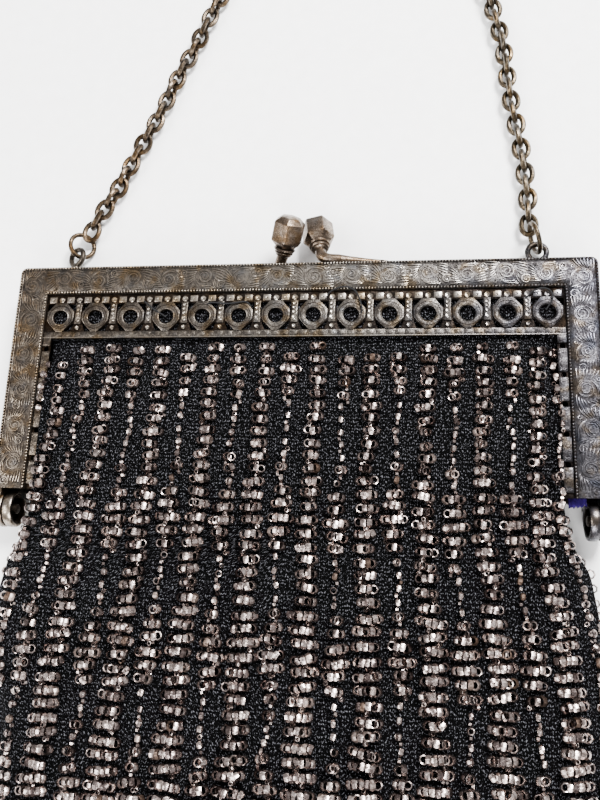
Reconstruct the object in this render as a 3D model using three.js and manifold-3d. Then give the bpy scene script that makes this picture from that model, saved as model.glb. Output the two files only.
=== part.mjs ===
// A beaded evening purse on a hinged, pierced metal frame with a kiss-lock clasp and a carrying chain.
// It lies on its back: +X to the right seen from the front, +Y from the bag towards the chain, +Z up out of
// the front. The origin is the middle of the top band, on the flat back face that the purse rests on.
// Sizes are in millimetres.
// Each frame half is stamped sheet, L-shaped in section, with a pierced gallery soldered inside its band.
// The bag is a soft knitted shell, open at the mouth; its wall is measured over the beads.

import * as THREE from 'three';
import { mergeVertices } from 'three/addons/utils/BufferGeometryUtils.js';
import Module from 'manifold-3d';

const wasm = await Module();
wasm.setup();

// Frame
const frameWidth = 130;
const frameDepth = 10;
const topBandHeight = 6.7;
const legBandWidth = 7.15;
const frameHeight = 51.8;
const cornerRadius = 1.2;
const sheetThickness = 1.1;
const seamGap = 0.3;
const rimWidth = 0.7;
const rimHeight = 0.25;
const clearance = 0.3;
const solderLap = 0.5;
const cutMargin = 1;

// Scrolls stamped along the front band
const scrollPitch = 8.6;
const scrollRadius = 2.35;
const scrollLineWidth = 0.55;
const scrollTurns = 1.2;
const scrollSteps = 7;
const scrollHeight = 0.2;

// Pierced gallery, one unit to each ring
const galleryUnits = 14;
const galleryPitch = 8.34;
const galleryGroove = 0.6;
const galleryHeight = 10.74;
const galleryPlate = 0.55;
const galleryRelief = 0.3;
const galleryRecess = 0.5;
const topBarHeight = 1.65;
const bottomBarHeight = 1.7;
const ringHoleRadius = 1.69;
const ringBandWidth = 0.85;
const postWidth = 1.6;
const sideStripWidth = 2;
const pierceMargin = 0.25;
const postGapTaper = 0.35;

// Hinges at the foot of each leg
const barrelRadius = 4;
const barrelLength = 4.3;
const hingePinRadius = 1.1;
const pinHeadRadius = 1.8;
const pinHeadHeight = 0.5;
const leafStep = 0.2;

// Kiss-lock knobs
const knobCornerRadius = 3.75;
const knobLength = 7.4;
const knobChamfer = 1.5;
const knobCrown = 0.2;
const collarRadius = 2.1;
const collarHeight = 0.7;
const stemRadius = 1.25;
const armTipRadius = 0.7;
const armLength = 16;
const rivetRadius = 0.6;
const rivetHeadRadius = 1.1;
const rivetHeadHeight = 0.5;
const stemFlare = 1.2;
const backKnobFoot = -5;
const backKnobLean = [2.8, 7.6, 6.6];
const frontKnobFoot = 5.5;
const frontKnobLean = [-1.4, 7.95, -2.9];

// Rings that carry the chain
const eyeOuterRadius = 2.7;
const eyeWireRadius = 0.65;
const jumpWireRadius = 0.55;
const eyeInset = { left: 10, right: 11.4 };
const eyeStand = { left: 5.75, right: 4.5 };
const eyeTilt = { left: -0.45, right: 0 };
const jumpRadius = { left: 2.9, right: 3.3 };
const jumpOffset = { left: [0.9, 3.1, -0.1], right: [-0.6, 2.8, 1.6] };
const jumpTilt = { left: 0.65, right: Math.PI / 2 };
const jumpTurn = { left: 0, right: 0.28 };

// Chain, as a tube round its links
const chainWidth = 4;
const chainSteps = 32;
const chainSides = 8;

// Bag
const bodyLength = 105.2;
const bodyWidth = 127;
const bodyThickness = 14;
const collarWall = 1.2;
const bodyWall = 2.4;
const beadColumns = 20;
const ribHeight = 0.9;
const liningThickness = 1;
const liningWidth = 3.7;
const liningDrop = 2.3;
const liningLength = 7;
const liningTear = [0.5, 0.3];

// Places worked out from the sizes above
const topEdge = topBandHeight / 2;
const legBottom = topEdge - frameHeight;
const halfWidth = frameWidth / 2;
const legInner = halfWidth - legBandWidth;
const bandInner = topEdge - topBandHeight;
const galleryBottom = bandInner - galleryHeight;
const galleryFront = frameDepth - galleryRecess;
const galleryBack = galleryFront - galleryRelief - galleryPlate;
const seamTop = (frameDepth + seamGap) / 2;
const seamBottom = (frameDepth - seamGap) / 2;
const middle = frameDepth / 2;
const hingeY = legBottom - barrelRadius;
const barrelInner = halfWidth - barrelLength;
const knuckleLength = (barrelLength - clearance) / 2;
const eyeRingRadius = eyeOuterRadius - eyeWireRadius;
const mouthHalfWidth = legInner - solderLap;
const mouthFront = galleryBack - clearance;
const mouthBack = frameDepth - mouthFront;
const bagRim = bandInner - galleryGroove;
const chainHeight = chainWidth / 2;

const silver = { color: 0x9a9086, metalness: 0.85, roughness: 0.45 };
const darkSilver = { color: 0x6f665c, metalness: 0.85, roughness: 0.5 };
const chainMetal = { color: 0x8a7d6e, metalness: 0.85, roughness: 0.4 };
const knitAndBeads = { color: 0x35322f, metalness: 0.1, roughness: 0.7 };
const violetCloth = { color: 0x3b2470, metalness: 0, roughness: 0.85 };

// The chain's route, chosen point by point along its middle, from the left ring round to the right ring
const chainRoute = [
  [-52.2, 16.1], [-50.6, 20.2], [-47.2, 26.2], [-44.3, 33.0], [-41.3, 40.0], [-38.3, 46.7], [-35.6, 53.6],
  [-32.8, 61.0], [-29.7, 67.8], [-27.2, 74.8], [-24.4, 81.5], [-18.6, 95.3], [-13.2, 108.8],
  [-7.8, 122.3], [-2.2, 135.3], [4.5, 146.8], [13.5, 152.8], [22.5, 150.3], [28.5, 140.3],
  [32.0, 127.3], [35.3, 113.8], [38.7, 100.3], [41.8, 88.3], [44.9, 76.4], [46.4, 70.0],
  [47.7, 62.3], [48.4, 54.3], [49.3, 46.3], [50.5, 38.7], [51.4, 31.5], [52.0, 24.2],
  [52.1, 19.6], [52.1, 14.9],
];

// Solid helpers

/** Merges a geometry's shared corners and gives it to the boolean library. */
function solidOf(geometry) {
  const bare = geometry.index ? geometry.toNonIndexed() : geometry.clone();
  bare.deleteAttribute('normal');
  bare.deleteAttribute('uv');
  const merged = mergeVertices(bare, 1e-4);
  return new wasm.Manifold(new wasm.Mesh({
    numProp: 3,
    vertProperties: new Float32Array(merged.attributes.position.array),
    triVerts: new Uint32Array(merged.index.array),
  }));
}

/** Turns a finished solid back into a three.js geometry. */
function geometryOf(solid) {
  const mesh = solid.getMesh();
  const geometry = new THREE.BufferGeometry();
  geometry.setAttribute('position', new THREE.BufferAttribute(new Float32Array(mesh.vertProperties), 3));
  geometry.setIndex(new THREE.BufferAttribute(new Uint32Array(mesh.triVerts), 1));
  geometry.computeVertexNormals();
  return geometry;
}

/** Makes a named mesh in its own material. */
function piece(name, solid, finish) {
  const mesh = new THREE.Mesh(geometryOf(solid), new THREE.MeshStandardMaterial(finish));
  mesh.name = name;
  return mesh;
}

/** Fuses solids into one. */
function joined(solids) {
  return solids.reduce((whole, next) => whole.add(next));
}

/** Extrudes a flat shape between two heights. */
function slab(shape, low, high, curveSegments = 2) {
  const geometry = new THREE.ExtrudeGeometry(shape, {
    depth: high - low, bevelEnabled: false, curveSegments,
  });
  geometry.translate(0, 0, low);
  return solidOf(geometry);
}

/** A closed flat shape through points. */
function polygon(points) {
  return new THREE.Shape(points.map(([x, y]) => new THREE.Vector2(x, y)));
}

/** An upright rectangle between two corners. */
function rectangle(left, bottom, right, top) {
  return polygon([[left, bottom], [right, bottom], [right, top], [left, top]]);
}

/** A cylinder between two points, with end radii that may differ. */
function rod(from, to, startRadius, endRadius = startRadius, sides = 12) {
  const start = new THREE.Vector3(...from);
  const axis = new THREE.Vector3(...to).sub(start);
  const geometry = new THREE.CylinderGeometry(endRadius, startRadius, axis.length(), sides);
  geometry.translate(0, axis.length() / 2, 0);
  geometry.applyQuaternion(new THREE.Quaternion().setFromUnitVectors(
    new THREE.Vector3(0, 1, 0), axis.normalize()));
  geometry.translate(...from);
  return solidOf(geometry);
}

/** A body turned about a line: the profile's pairs are radius and distance along the line. */
function turned(profile, from, direction, sides) {
  const geometry = new THREE.LatheGeometry(profile.map(([r, h]) => new THREE.Vector2(r, h)), sides);
  geometry.applyQuaternion(new THREE.Quaternion().setFromUnitVectors(
    new THREE.Vector3(0, 1, 0), direction));
  geometry.translate(from.x, from.y, from.z);
  return solidOf(geometry);
}

/** A wire ring that lies flat, tilted about Y and then turned about Z, at a place. */
function wireRing(radius, wireRadius, centre, tiltY, turnZ, segments = 14) {
  const geometry = new THREE.TorusGeometry(radius, wireRadius, 6, segments);
  geometry.rotateY(tiltY);
  geometry.rotateZ(turnZ);
  geometry.translate(...centre);
  return solidOf(geometry);
}

// Frame halves

/** The band seen from the front: a top bar with two legs, of a given width all along. */
function bandShape(topWidth, legWidth) {
  const outer = halfWidth;
  const top = topEdge;
  const radius = cornerRadius;
  const shape = new THREE.Shape();
  shape.moveTo(-outer, legBottom);
  shape.lineTo(-outer + legWidth, legBottom);
  shape.lineTo(-outer + legWidth, top - topWidth);
  shape.lineTo(outer - legWidth, top - topWidth);
  shape.lineTo(outer - legWidth, legBottom);
  shape.lineTo(outer, legBottom);
  shape.lineTo(outer, top - radius);
  shape.absarc(outer - radius, top - radius, radius, 0, Math.PI / 2, false);
  shape.lineTo(-outer + radius, top);
  shape.absarc(-outer + radius, top - radius, radius, Math.PI / 2, Math.PI, false);
  return shape;
}

/** One C-scroll: a line that winds in to its eye, wide at its shoulder and fine at its ends. */
function scrollShape(hand) {
  const sweep = scrollTurns * Math.PI * 2;
  const edge = [];
  const innerEdge = [];
  for (let step = 0; step <= scrollSteps; step += 1) {
    const share = step / scrollSteps;
    const angle = Math.PI * 0.15 + share * sweep;
    const radius = scrollRadius * (1 - 0.72 * share);
    const half = (scrollLineWidth / 2) * (0.35 + Math.sin(Math.PI * share));
    edge.push([hand * (radius + half) * Math.cos(angle), (radius + half) * Math.sin(angle)]);
    innerEdge.push([hand * (radius - half) * Math.cos(angle), (radius - half) * Math.sin(angle)]);
  }
  const outline = [...edge, ...innerEdge.reverse()];
  return polygon(hand > 0 ? outline : outline.reverse());
}

/** The places of the scrolls along the top band and down both legs. */
function scrollPlaces() {
  const places = [];
  const acrossCount = Math.floor((frameWidth - legBandWidth) / scrollPitch);
  const acrossStep = (frameWidth - legBandWidth) / acrossCount;
  for (let i = 0; i <= acrossCount; i += 1) {
    const x = -halfWidth + legBandWidth / 2 + i * acrossStep;
    places.push({ x, y: 0, turn: i % 2 ? Math.PI : 0, hand: i % 2 ? 1 : -1 });
  }
  const legRun = -legBottom - scrollRadius - rimWidth;
  const legCount = Math.floor(legRun / scrollPitch);
  for (let i = 1; i <= legCount; i += 1) {
    for (const hand of [-1, 1]) {
      const x = hand * (halfWidth - legBandWidth / 2);
      places.push({ x, y: -i * legRun / legCount, turn: Math.PI / 2 + (i % 2 ? Math.PI : 0), hand });
    }
  }
  return places;
}

/** Every scroll as a solid, let into the band's ground. */
function scrolls(ground) {
  return scrollPlaces().map(({ x, y, turn, hand }) => {
    const geometry = new THREE.ExtrudeGeometry(scrollShape(hand), {
      depth: scrollHeight + solderLap, bevelEnabled: false,
    });
    geometry.rotateZ(turn);
    geometry.translate(x, y, ground - solderLap);
    return solidOf(geometry);
  });
}

/** Where each ring of the gallery has its centre. */
function ringCentres() {
  const centreY = bandInner - galleryGroove - topBarHeight - pierceTop();
  const first = -galleryPitch * (galleryUnits - 1) / 2;
  return Array.from({ length: galleryUnits }, (_, i) => [first + i * galleryPitch, centreY]);
}

/** The height from a ring's centre to the top bar, and likewise to the bottom bar. */
function pierceTop() {
  return (galleryHeight - galleryGroove - topBarHeight - bottomBarHeight) / 2;
}

/** The holes of one unit: the ring's eye, a triangle each side of the post, and a gap at its foot. */
function unitHoles([x, y], isLast) {
  const reach = pierceTop() - pierceMargin / 2;
  const ring = ringHoleRadius + ringBandWidth;
  const side = galleryPitch / 2 - postWidth / 2;
  const cut = (points) => slab(polygon(points), -cutMargin, frameDepth + cutMargin);
  const eye = new THREE.Shape().absarc(x, y, ringHoleRadius, 0, Math.PI * 2, false);
  const holes = [slab(eye, -cutMargin, frameDepth + cutMargin, 5)];
  const shoulder = reach - ring * 0.65 + pierceMargin;
  for (const hand of [-1, 1]) {
    const corner = [
      [x + hand * (ring * 0.62), y + reach],
      [x + hand * side, y + reach],
      [x + hand * side, y + reach - shoulder],
    ];
    holes.push(cut(hand > 0 ? corner.reverse() : corner));
  }
  if (!isLast) {
    const post = x + galleryPitch / 2;
    const foot = galleryPitch / 2 - ring * 0.35;
    const head = galleryPitch / 2 - ring - postGapTaper;
    holes.push(cut([
      [post - foot, y - reach], [post + foot, y - reach],
      [post + head, y - reach + shoulder], [post - head, y - reach + shoulder],
    ]));
  }
  return holes;
}

/** A ring of the gallery: an eight-sided collar round its eye, with points at the two bars. */
function ringCollar([x, y]) {
  const radius = ringHoleRadius + ringBandWidth;
  const tip = pierceTop() + solderLap;
  const points = [
    [tip * 0.28, tip], [radius, radius * 0.42], [radius, -radius * 0.42], [tip * 0.28, -tip],
    [-tip * 0.28, -tip], [-radius, -radius * 0.42], [-radius, radius * 0.42], [-tip * 0.28, tip],
  ];
  return polygon(points.map(([px, py]) => [x + px, y + py]).reverse());
}

/**
 * One half of the frame. The front half is drawn at full detail; the back half has the same band,
 * gallery and walls, with plain faces to lie on.
 */
function frameHalf(isFront) {
  const span = (low, high) => (isFront ? [low, high] : [frameDepth - high, frameDepth - low]);
  const ground = isFront ? frameDepth - rimHeight : frameDepth;
  const solids = [
    slab(bandShape(topBandHeight, legBandWidth), ...span(frameDepth - sheetThickness, ground)),
    slab(bandShape(sheetThickness, sheetThickness), ...span(seamTop, frameDepth - sheetThickness / 2)),
  ];
  const plate = [galleryBack, galleryBack + galleryPlate];
  const raised = [galleryBack, galleryFront];
  const lap = legInner + solderLap;
  const barTop = bandInner - galleryGroove;
  solids.push(slab(rectangle(-lap, galleryBottom, lap, bandInner + solderLap), ...span(...plate)));
  solids.push(slab(rectangle(-legInner, barTop - topBarHeight, legInner, barTop), ...span(...raised)));
  solids.push(slab(rectangle(-legInner, galleryBottom, legInner, galleryBottom + bottomBarHeight),
    ...span(...raised)));
  for (const hand of [-1, 1]) {
    const inner = hand * (legInner - sideStripWidth);
    const outer = hand * lap;
    const [low, high] = [Math.min(inner, outer), Math.max(inner, outer)];
    const strip = rectangle(low, legBottom, high, galleryBottom + solderLap);
    solids.push(slab(strip, ...span(galleryBack, galleryFront - galleryRelief / 2)));
    solids.push(knuckle(hand, isFront, span));
  }
  if (isFront) {
    solids.push(slab(bandShape(rimWidth, rimWidth), ground - rimHeight, frameDepth));
    solids.push(slab(innerRim(), ground - rimHeight, frameDepth));
    solids.push(...scrolls(ground));
    solids.push(...ringCentres().map((centre) => slab(ringCollar(centre), ...span(...raised))));
  }
  const holes = ringCentres().flatMap((centre, i) => unitHoles(centre, i === galleryUnits - 1));
  const cuts = [...holes, hingeBore(-1), hingeBore(1), ...rivetHoles(isFront)];
  return joined(solids).subtract(joined(cuts));
}

/** The raised line along the inner edge of the band. */
function innerRim() {
  const outer = legInner + rimWidth;
  return polygon([
    [-outer, legBottom], [-legInner, legBottom], [-legInner, bandInner], [legInner, bandInner],
    [legInner, legBottom], [outer, legBottom], [outer, bandInner + rimWidth], [-outer, bandInner + rimWidth],
  ]);
}

/** Where a half's knuckle lies along its hinge: the front half's is outside, the back half's inside. */
function knuckleSpan(isFront) {
  const start = isFront ? halfWidth - knuckleLength : barrelInner;
  return [start, start + knuckleLength];
}

/** A hinge knuckle with the leaf that joins it to its leg. */
function knuckle(hand, isFront, span) {
  const [near, far] = knuckleSpan(isFront);
  const ends = [[hand * near, hingeY, middle], [hand * far, hingeY, middle]];
  const barrel = rod(...ends, barrelRadius, barrelRadius, 16);
  const leaf = rectangle(Math.min(hand * near, hand * far), hingeY, Math.max(hand * near, hand * far),
    legBottom + solderLap * 2);
  return barrel.add(slab(leaf, ...span(seamTop, frameDepth - rimHeight - leafStep)));
}

/** The bore through both knuckles of one hinge. */
function hingeBore(hand) {
  const radius = hingePinRadius + clearance;
  const start = hand * (barrelInner - cutMargin);
  const end = hand * (halfWidth + cutMargin);
  return rod([start, hingeY, middle], [end, hingeY, middle], radius, radius, 12);
}

/** A hinge pin, headed at its outer end. */
function hingePin(hand) {
  const y = hingeY;
  const outer = halfWidth + clearance;
  const shank = rod([hand * barrelInner, y, middle], [hand * (outer + pinHeadHeight), y, middle],
    hingePinRadius, hingePinRadius, 12);
  const head = rod([hand * outer, y, middle], [hand * (outer + pinHeadHeight), y, middle],
    pinHeadRadius, pinHeadRadius * 0.8, 12);
  return shank.add(head);
}

// Clasp

const backWallMiddle = seamBottom / 2;
const frontWallMiddle = (seamTop + frameDepth) / 2;
const backStemFoot = new THREE.Vector3(backKnobFoot, topEdge + clearance, backWallMiddle);
const backKnobCentre = backStemFoot.clone().add(new THREE.Vector3(...backKnobLean));
const armBend = new THREE.Vector3(frontKnobFoot, topEdge + clearance + stemRadius, frontWallMiddle);
const frontKnobCentre = armBend.clone().add(new THREE.Vector3(...frontKnobLean));
const armRivets = [0.25, 0.85].map((share) => armBend.x + share * armLength);

/** A hexagonal barrel knob with a round collar, centred on a place and pointing along a line. */
function knob(centre, direction) {
  const half = knobLength / 2;
  const nose = knobCornerRadius - knobChamfer;
  const barrel = turned([
    [0, -half], [nose, -half], [knobCornerRadius, -half + knobChamfer],
    [knobCornerRadius, half - knobChamfer], [nose, half - knobCrown], [0, half],
  ], centre, direction, 6);
  const collar = turned([
    [0, -half - 2 * collarHeight], [stemRadius, -half - 2 * collarHeight],
    [collarRadius, -half - collarHeight * 1.5], [collarRadius, -half - collarHeight / 2],
    [stemRadius, -half + knobCrown], [0, -half + knobCrown],
  ], centre, direction, 12);
  return barrel.add(collar);
}

/** A rivet that goes down through the top wall of a half, with its head inside. */
function rivet(x, z, top) {
  const inside = topEdge - sheetThickness - clearance;
  const shank = rod([x, top, z], [x, inside - rivetHeadHeight, z], rivetRadius, rivetRadius, 8);
  const head = rod([x, inside, z], [x, inside - rivetHeadHeight, z], rivetHeadRadius, rivetHeadRadius, 8);
  return shank.add(head);
}

/** One hole through the top wall, with clearance round its rivet. */
function rivetHole(x, z) {
  const radius = rivetRadius + clearance;
  const inside = topEdge - sheetThickness - cutMargin;
  return rod([x, topEdge + cutMargin, z], [x, inside, z], radius, radius, 8);
}

/** The holes in a half's top wall for its knob's rivets and for the chain's eyes. */
function rivetHoles(isFront) {
  if (isFront) {
    return armRivets.map((x) => rivetHole(x, frontWallMiddle));
  }
  const places = [backStemFoot.x, eyePlace('left').x, eyePlace('right').x];
  return places.map((x) => rivetHole(x, backWallMiddle));
}

/** The knob of the back half, which leans forwards over the seam on a flared stem. */
function backClasp() {
  const direction = backKnobCentre.clone().sub(backStemFoot).normalize();
  const { x, y, z } = backStemFoot;
  const flare = rod([x, y, z], [x, y + stemFlare, z], stemRadius * 1.5, stemRadius * 1.05);
  const stemEnd = backKnobCentre.clone().addScaledVector(direction, -knobLength / 2);
  const stem = rod([x, y + stemFlare / 2, z], stemEnd.toArray(), stemRadius);
  return joined([knob(backKnobCentre, direction), flare, stem, rivet(x, z, y + stemFlare / 2)]);
}

/** The knob of the front half: its stem bends out of a tapered arm that lies along the top edge. */
function frontClasp() {
  const direction = frontKnobCentre.clone().sub(armBend).normalize();
  const stemEnd = frontKnobCentre.clone().addScaledVector(direction, -knobLength / 2);
  const stem = rod(armBend.toArray(), stemEnd.toArray(), stemRadius);
  const elbow = solidOf(new THREE.IcosahedronGeometry(stemRadius, 1).translate(...armBend.toArray()));
  const tipY = topEdge + clearance + armTipRadius;
  const arm = rod(armBend.toArray(), [armBend.x + armLength, tipY, armBend.z], stemRadius, armTipRadius);
  const rivets = armRivets.map((x) => rivet(x, armBend.z, tipY));
  return joined([knob(frontKnobCentre, direction), stem, elbow, arm, ...rivets]);
}

// Eyes, jump rings and chain

/** Where the ring of the eye on one side has its centre. */
function eyePlace(side) {
  const x = side === 'left' ? eyeInset.left - halfWidth : halfWidth - eyeInset.right;
  return new THREE.Vector3(x, topEdge + eyeStand[side], backWallMiddle);
}

/** An eye for the chain: a wire ring on a shank that is riveted through the back half's top wall. */
function chainEye(side) {
  const { x, y, z } = eyePlace(side);
  const bottom = topEdge + clearance;
  const ring = wireRing(eyeRingRadius, eyeWireRadius, [x, y, z], eyeTilt[side], 0);
  const shank = rod([x, bottom, z], [x, y - eyeRingRadius, z], eyeWireRadius * 1.3, eyeWireRadius, 8);
  return joined([ring, shank, rivet(x, z, bottom + eyeWireRadius)]);
}

/** The round ring that joins the chain to its eye. */
function jumpRing(side) {
  const centre = eyePlace(side).add(new THREE.Vector3(...jumpOffset[side]));
  return wireRing(jumpRadius[side], jumpWireRadius, centre.toArray(), jumpTilt[side], jumpTurn[side]);
}

/** The chain's outer form, a tube along its route. */
function chainTube() {
  const points = chainRoute.map(([x, y]) => new THREE.Vector3(x, y, chainHeight));
  const section = new THREE.Shape(Array.from({ length: chainSides }, (_, i) => {
    const angle = (i + 0.5) * Math.PI * 2 / chainSides;
    return new THREE.Vector2(Math.cos(angle), Math.sin(angle)).multiplyScalar(chainWidth / 2);
  }));
  return solidOf(new THREE.ExtrudeGeometry(section, {
    steps: chainSteps, extrudePath: new THREE.CatmullRomCurve3(points),
  }));
}

// Bag

// Each row is a section across the bag. at is its place as a share of its stretch: between the gallery's
// foot and the leg ends, or from below the hinges to the bag's foot. left and right are half-widths as
// shares of the mouth's half-width down to the hinges, and of the body's half-width below them. swell is
// how far the front has risen from the mouth's height to the body's, and sag how far the back has sunk to
// what the bag lies on. level is the height of the side seam as a share of the frame's middle, edge the
// side's half-height as a share of the mouth's, and lip how far the side stays behind the side strips. rib
// scales the bead columns, and wall goes from the collar's wall to the body's. A row takes from settled
// what it doesn't say.
const settled = { sag: 1, level: 1, lip: 0, rib: 1, wall: 1 };
const legSections = [
  { at: 0.10, left: 1, right: 1, swell: 0.25, edge: 1, sag: 0.65, lip: 1, rib: 0.7, wall: 0.4 },
  { at: 0.42, left: 1, right: 0.995, swell: 0.47, edge: 0.97, sag: 0.9, lip: 1 },
  { at: 0.80, left: 1, right: 0.975, swell: 0.54, edge: 0.9, lip: 1 },
  { at: 1.02, left: 0.995, right: 0.975, swell: 0.6, edge: 0.8, lip: 0.6 },
];
const hingeSection = { left: 1.013, right: 0.997, swell: 0.72, edge: 0.7 };
const bodySections = [
  { at: 0.06, left: 0.965, right: 0.955, swell: 0.82, edge: 0.62 },
  { at: 0.14, left: 0.992, right: 0.98, swell: 0.9, edge: 0.6 },
  { at: 0.28, left: 0.955, right: 0.988, swell: 0.96, edge: 0.6 },
  { at: 0.41, left: 0.925, right: 0.98, swell: 1, edge: 0.6 },
  { at: 0.57, left: 0.96, right: 0.975, swell: 1, edge: 0.6 },
  { at: 0.75, left: 0.985, right: 0.985, swell: 0.9, edge: 0.55, level: 0.96 },
  { at: 0.87, left: 0.945, right: 0.94, swell: 0.64, edge: 0.5, level: 0.88, rib: 0.9 },
  { at: 0.95, left: 0.82, right: 0.81, swell: 0.18, edge: 0.4, sag: 0.97, level: 0.74, rib: 0.7 },
  { at: 0.985, left: 0.7, right: 0.69, swell: -0.16, edge: 0.34, sag: 0.9, level: 0.66, rib: 0.4 },
  { at: 1, left: 0.52, right: 0.51, swell: -0.52, edge: 0.25, sag: 0.76, level: 0.56, rib: 0 },
];
const mouthSection = { left: 1, right: 1, swell: 0, sag: 0, level: 1, edge: 1, lip: 1, rib: 0, wall: 0 };
const ribProfile = [[-0.5, 0], [-0.24, 1], [0.24, 1]];
const backStations = 12;
const frontFullness = 3.2;
const backFullness = 7;

/** Every section of the bag from its rim down, with the place and half-width that its shares refer to. */
function sections() {
  const legTop = galleryBottom - clearance;
  const hingeFoot = hingeY - barrelRadius - clearance;
  const placed = (rows, from, to, width) => rows.map((row) => (
    { ...settled, ...row, y: from + row.at * (to - from), width }
  ));
  return [
    { ...mouthSection, y: bagRim, width: mouthHalfWidth },
    { ...mouthSection, y: legTop, width: mouthHalfWidth },
    ...placed(legSections, legTop, legBottom, mouthHalfWidth),
    { ...settled, ...hingeSection, y: hingeFoot, width: mouthHalfWidth },
    ...placed(bodySections, hingeFoot, hingeFoot - bodyLength, bodyWidth / 2),
  ];
}

/** How far a face stands off the side seam's level, at a share of the half-width. */
function crown(share, edge, height, fullness) {
  const inward = Math.max(0, 1 - Math.abs(share) ** fullness);
  return edge + (Math.max(height, edge) - edge) * Math.sqrt(inward);
}

/** The outline of one section, drawn in by an inset: its front face, then its back face. */
function sectionOutline(row, inset, frontStations, rearStations) {
  const left = row.left * row.width - inset;
  const right = row.right * row.width - inset;
  const level = row.level * middle;
  const depth = level - mouthBack * (1 - row.sag) - inset;
  const height = mouthFront + row.swell * (bodyThickness - mouthFront) - level - inset;
  const edge = Math.max(row.edge * (mouthFront - middle) - inset, solderLap);
  const lip = row.lip * (sideStripWidth + clearance);
  const face = (stations, direction, reach, fullness) => stations.map(([share, bump]) => {
    const side = share < 0 ? left : right;
    const stand = crown(Math.min(1, Math.abs(share) * side / (side - lip)), edge, reach, fullness);
    const ridge = (bump - 1) * ribHeight * row.rib;
    return [share * side, level + direction * Math.max(stand + ridge, edge * 0.9)];
  });
  return [
    ...face(frontStations, 1, height, frontFullness),
    ...face(rearStations, -1, depth, backFullness).reverse(),
  ];
}

/** The places across the front where the outline has points: shares of the half-width, each with a rib. */
function ribStations() {
  const inner = 0.985;
  const stations = [[-1, 1]];
  for (let column = 0; column < beadColumns; column += 1) {
    for (const [offset, bump] of ribProfile) {
      stations.push([inner * (2 * (column + 0.5 + offset) / beadColumns - 1), bump]);
    }
  }
  stations.push([inner, 0], [1, 1]);
  return stations;
}

/** Smooth places across a face, closer together towards its sides. */
function plainStations(count) {
  return Array.from({ length: count + 1 }, (_, i) => [-Math.cos(Math.PI * i / count), 1]);
}

/** Skins a run of equal outlines and closes both ends. */
function loft(outlines, places) {
  const count = outlines[0].length;
  const positions = outlines.flatMap((outline, row) => outline.flatMap(([x, z]) => [x, places[row], z]));
  const triangles = [];
  for (let row = 0; row + 1 < outlines.length; row += 1) {
    for (let i = 0; i < count; i += 1) {
      const next = (i + 1) % count;
      const here = row * count;
      const below = here + count;
      triangles.push(here + i, below + i, here + next, here + next, below + i, below + next);
    }
  }
  const capOf = (outline) => THREE.ShapeUtils.triangulateShape(
    outline.map(([x, z]) => new THREE.Vector2(x, z)), []);
  const last = (outlines.length - 1) * count;
  const orient = (outline) => (THREE.ShapeUtils.area(
    outline.map(([x, z]) => new THREE.Vector2(x, z))) > 0 ? 1 : -1);
  const turn = orient(outlines[0]);
  for (const [a, b, c] of capOf(outlines[0])) {
    triangles.push(...(turn > 0 ? [a, c, b] : [a, b, c]).reverse());
  }
  for (const [a, b, c] of capOf(outlines[outlines.length - 1])) {
    triangles.push(...(turn > 0 ? [a, b, c] : [a, c, b]).reverse().map((index) => last + index));
  }
  const geometry = new THREE.BufferGeometry();
  geometry.setAttribute('position', new THREE.BufferAttribute(new Float32Array(positions), 3));
  geometry.setIndex(triangles);
  return solidOf(geometry);
}

/** The knitted bag over its beads: a shell that is open at the mouth and closed at its foot. */
function bag() {
  const rows = sections();
  const plain = plainStations(backStations);
  const places = rows.map((row) => row.y);
  const outer = loft(rows.map((row) => sectionOutline(row, 0, ribStations(), plain)), places);
  const wallOf = (row) => collarWall + row.wall * (bodyWall - collarWall);
  const inside = rows.filter((row, i) => i < 2 || (i % 2 === 1 && i < rows.length - 1));
  const hollow = loft([inside[0], ...inside].map((row) => sectionOutline(row, wallOf(row), plain, plain)),
    [bagRim + cutMargin, ...inside.map((row) => row.y)]);
  return outer.subtract(hollow);
}

/** A torn edge of the violet lining that hangs below the right leg's strip. */
function liningTab() {
  const high = galleryBack - clearance;
  const right = barrelInner - clearance;
  const bottom = legBottom - liningDrop;
  const [leftTear, rightTear] = liningTear;
  return slab(polygon([
    [right - liningWidth, bottom + leftTear], [right - liningWidth * 0.4, bottom],
    [right, bottom + rightTear],
    [right, bottom + liningLength], [right - liningWidth, bottom + liningLength],
  ]), high - liningThickness, high);
}

const purse = new THREE.Group();
purse.add(
  piece('front_frame', frameHalf(true), silver),
  piece('back_frame', frameHalf(false), silver),
  piece('hinge_pin_left', hingePin(-1), darkSilver),
  piece('hinge_pin_right', hingePin(1), darkSilver),
  piece('clasp_knob_front', frontClasp(), silver),
  piece('clasp_knob_back', backClasp(), silver),
  piece('chain_eye_left', chainEye('left'), darkSilver),
  piece('chain_eye_right', chainEye('right'), darkSilver),
  piece('jump_ring_left', jumpRing('left'), chainMetal),
  piece('jump_ring_right', jumpRing('right'), chainMetal),
  piece('chain', chainTube(), chainMetal),
  piece('bag', bag(), knitAndBeads),
  piece('lining_tab', liningTab(), violetCloth),
);

export default purse;
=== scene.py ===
"""A beaded evening purse lying on its back, dressed for the studio.

The struck metal frame, its clasp, rings and chain, the hollow knitted bag and every seed bead are modelled at
their real size. Sizes are in millimetres in the purse's own frame: +X to the right seen from the front, +Y from
the bag towards the chain, +Z up out of the front, with the back resting at zero.
"""

import logging
import math
import random
from dataclasses import dataclass, field
from enum import Enum
from typing import Any, Sequence

import bmesh
import bpy
import numpy as np
from mathutils import Matrix, Vector


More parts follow.
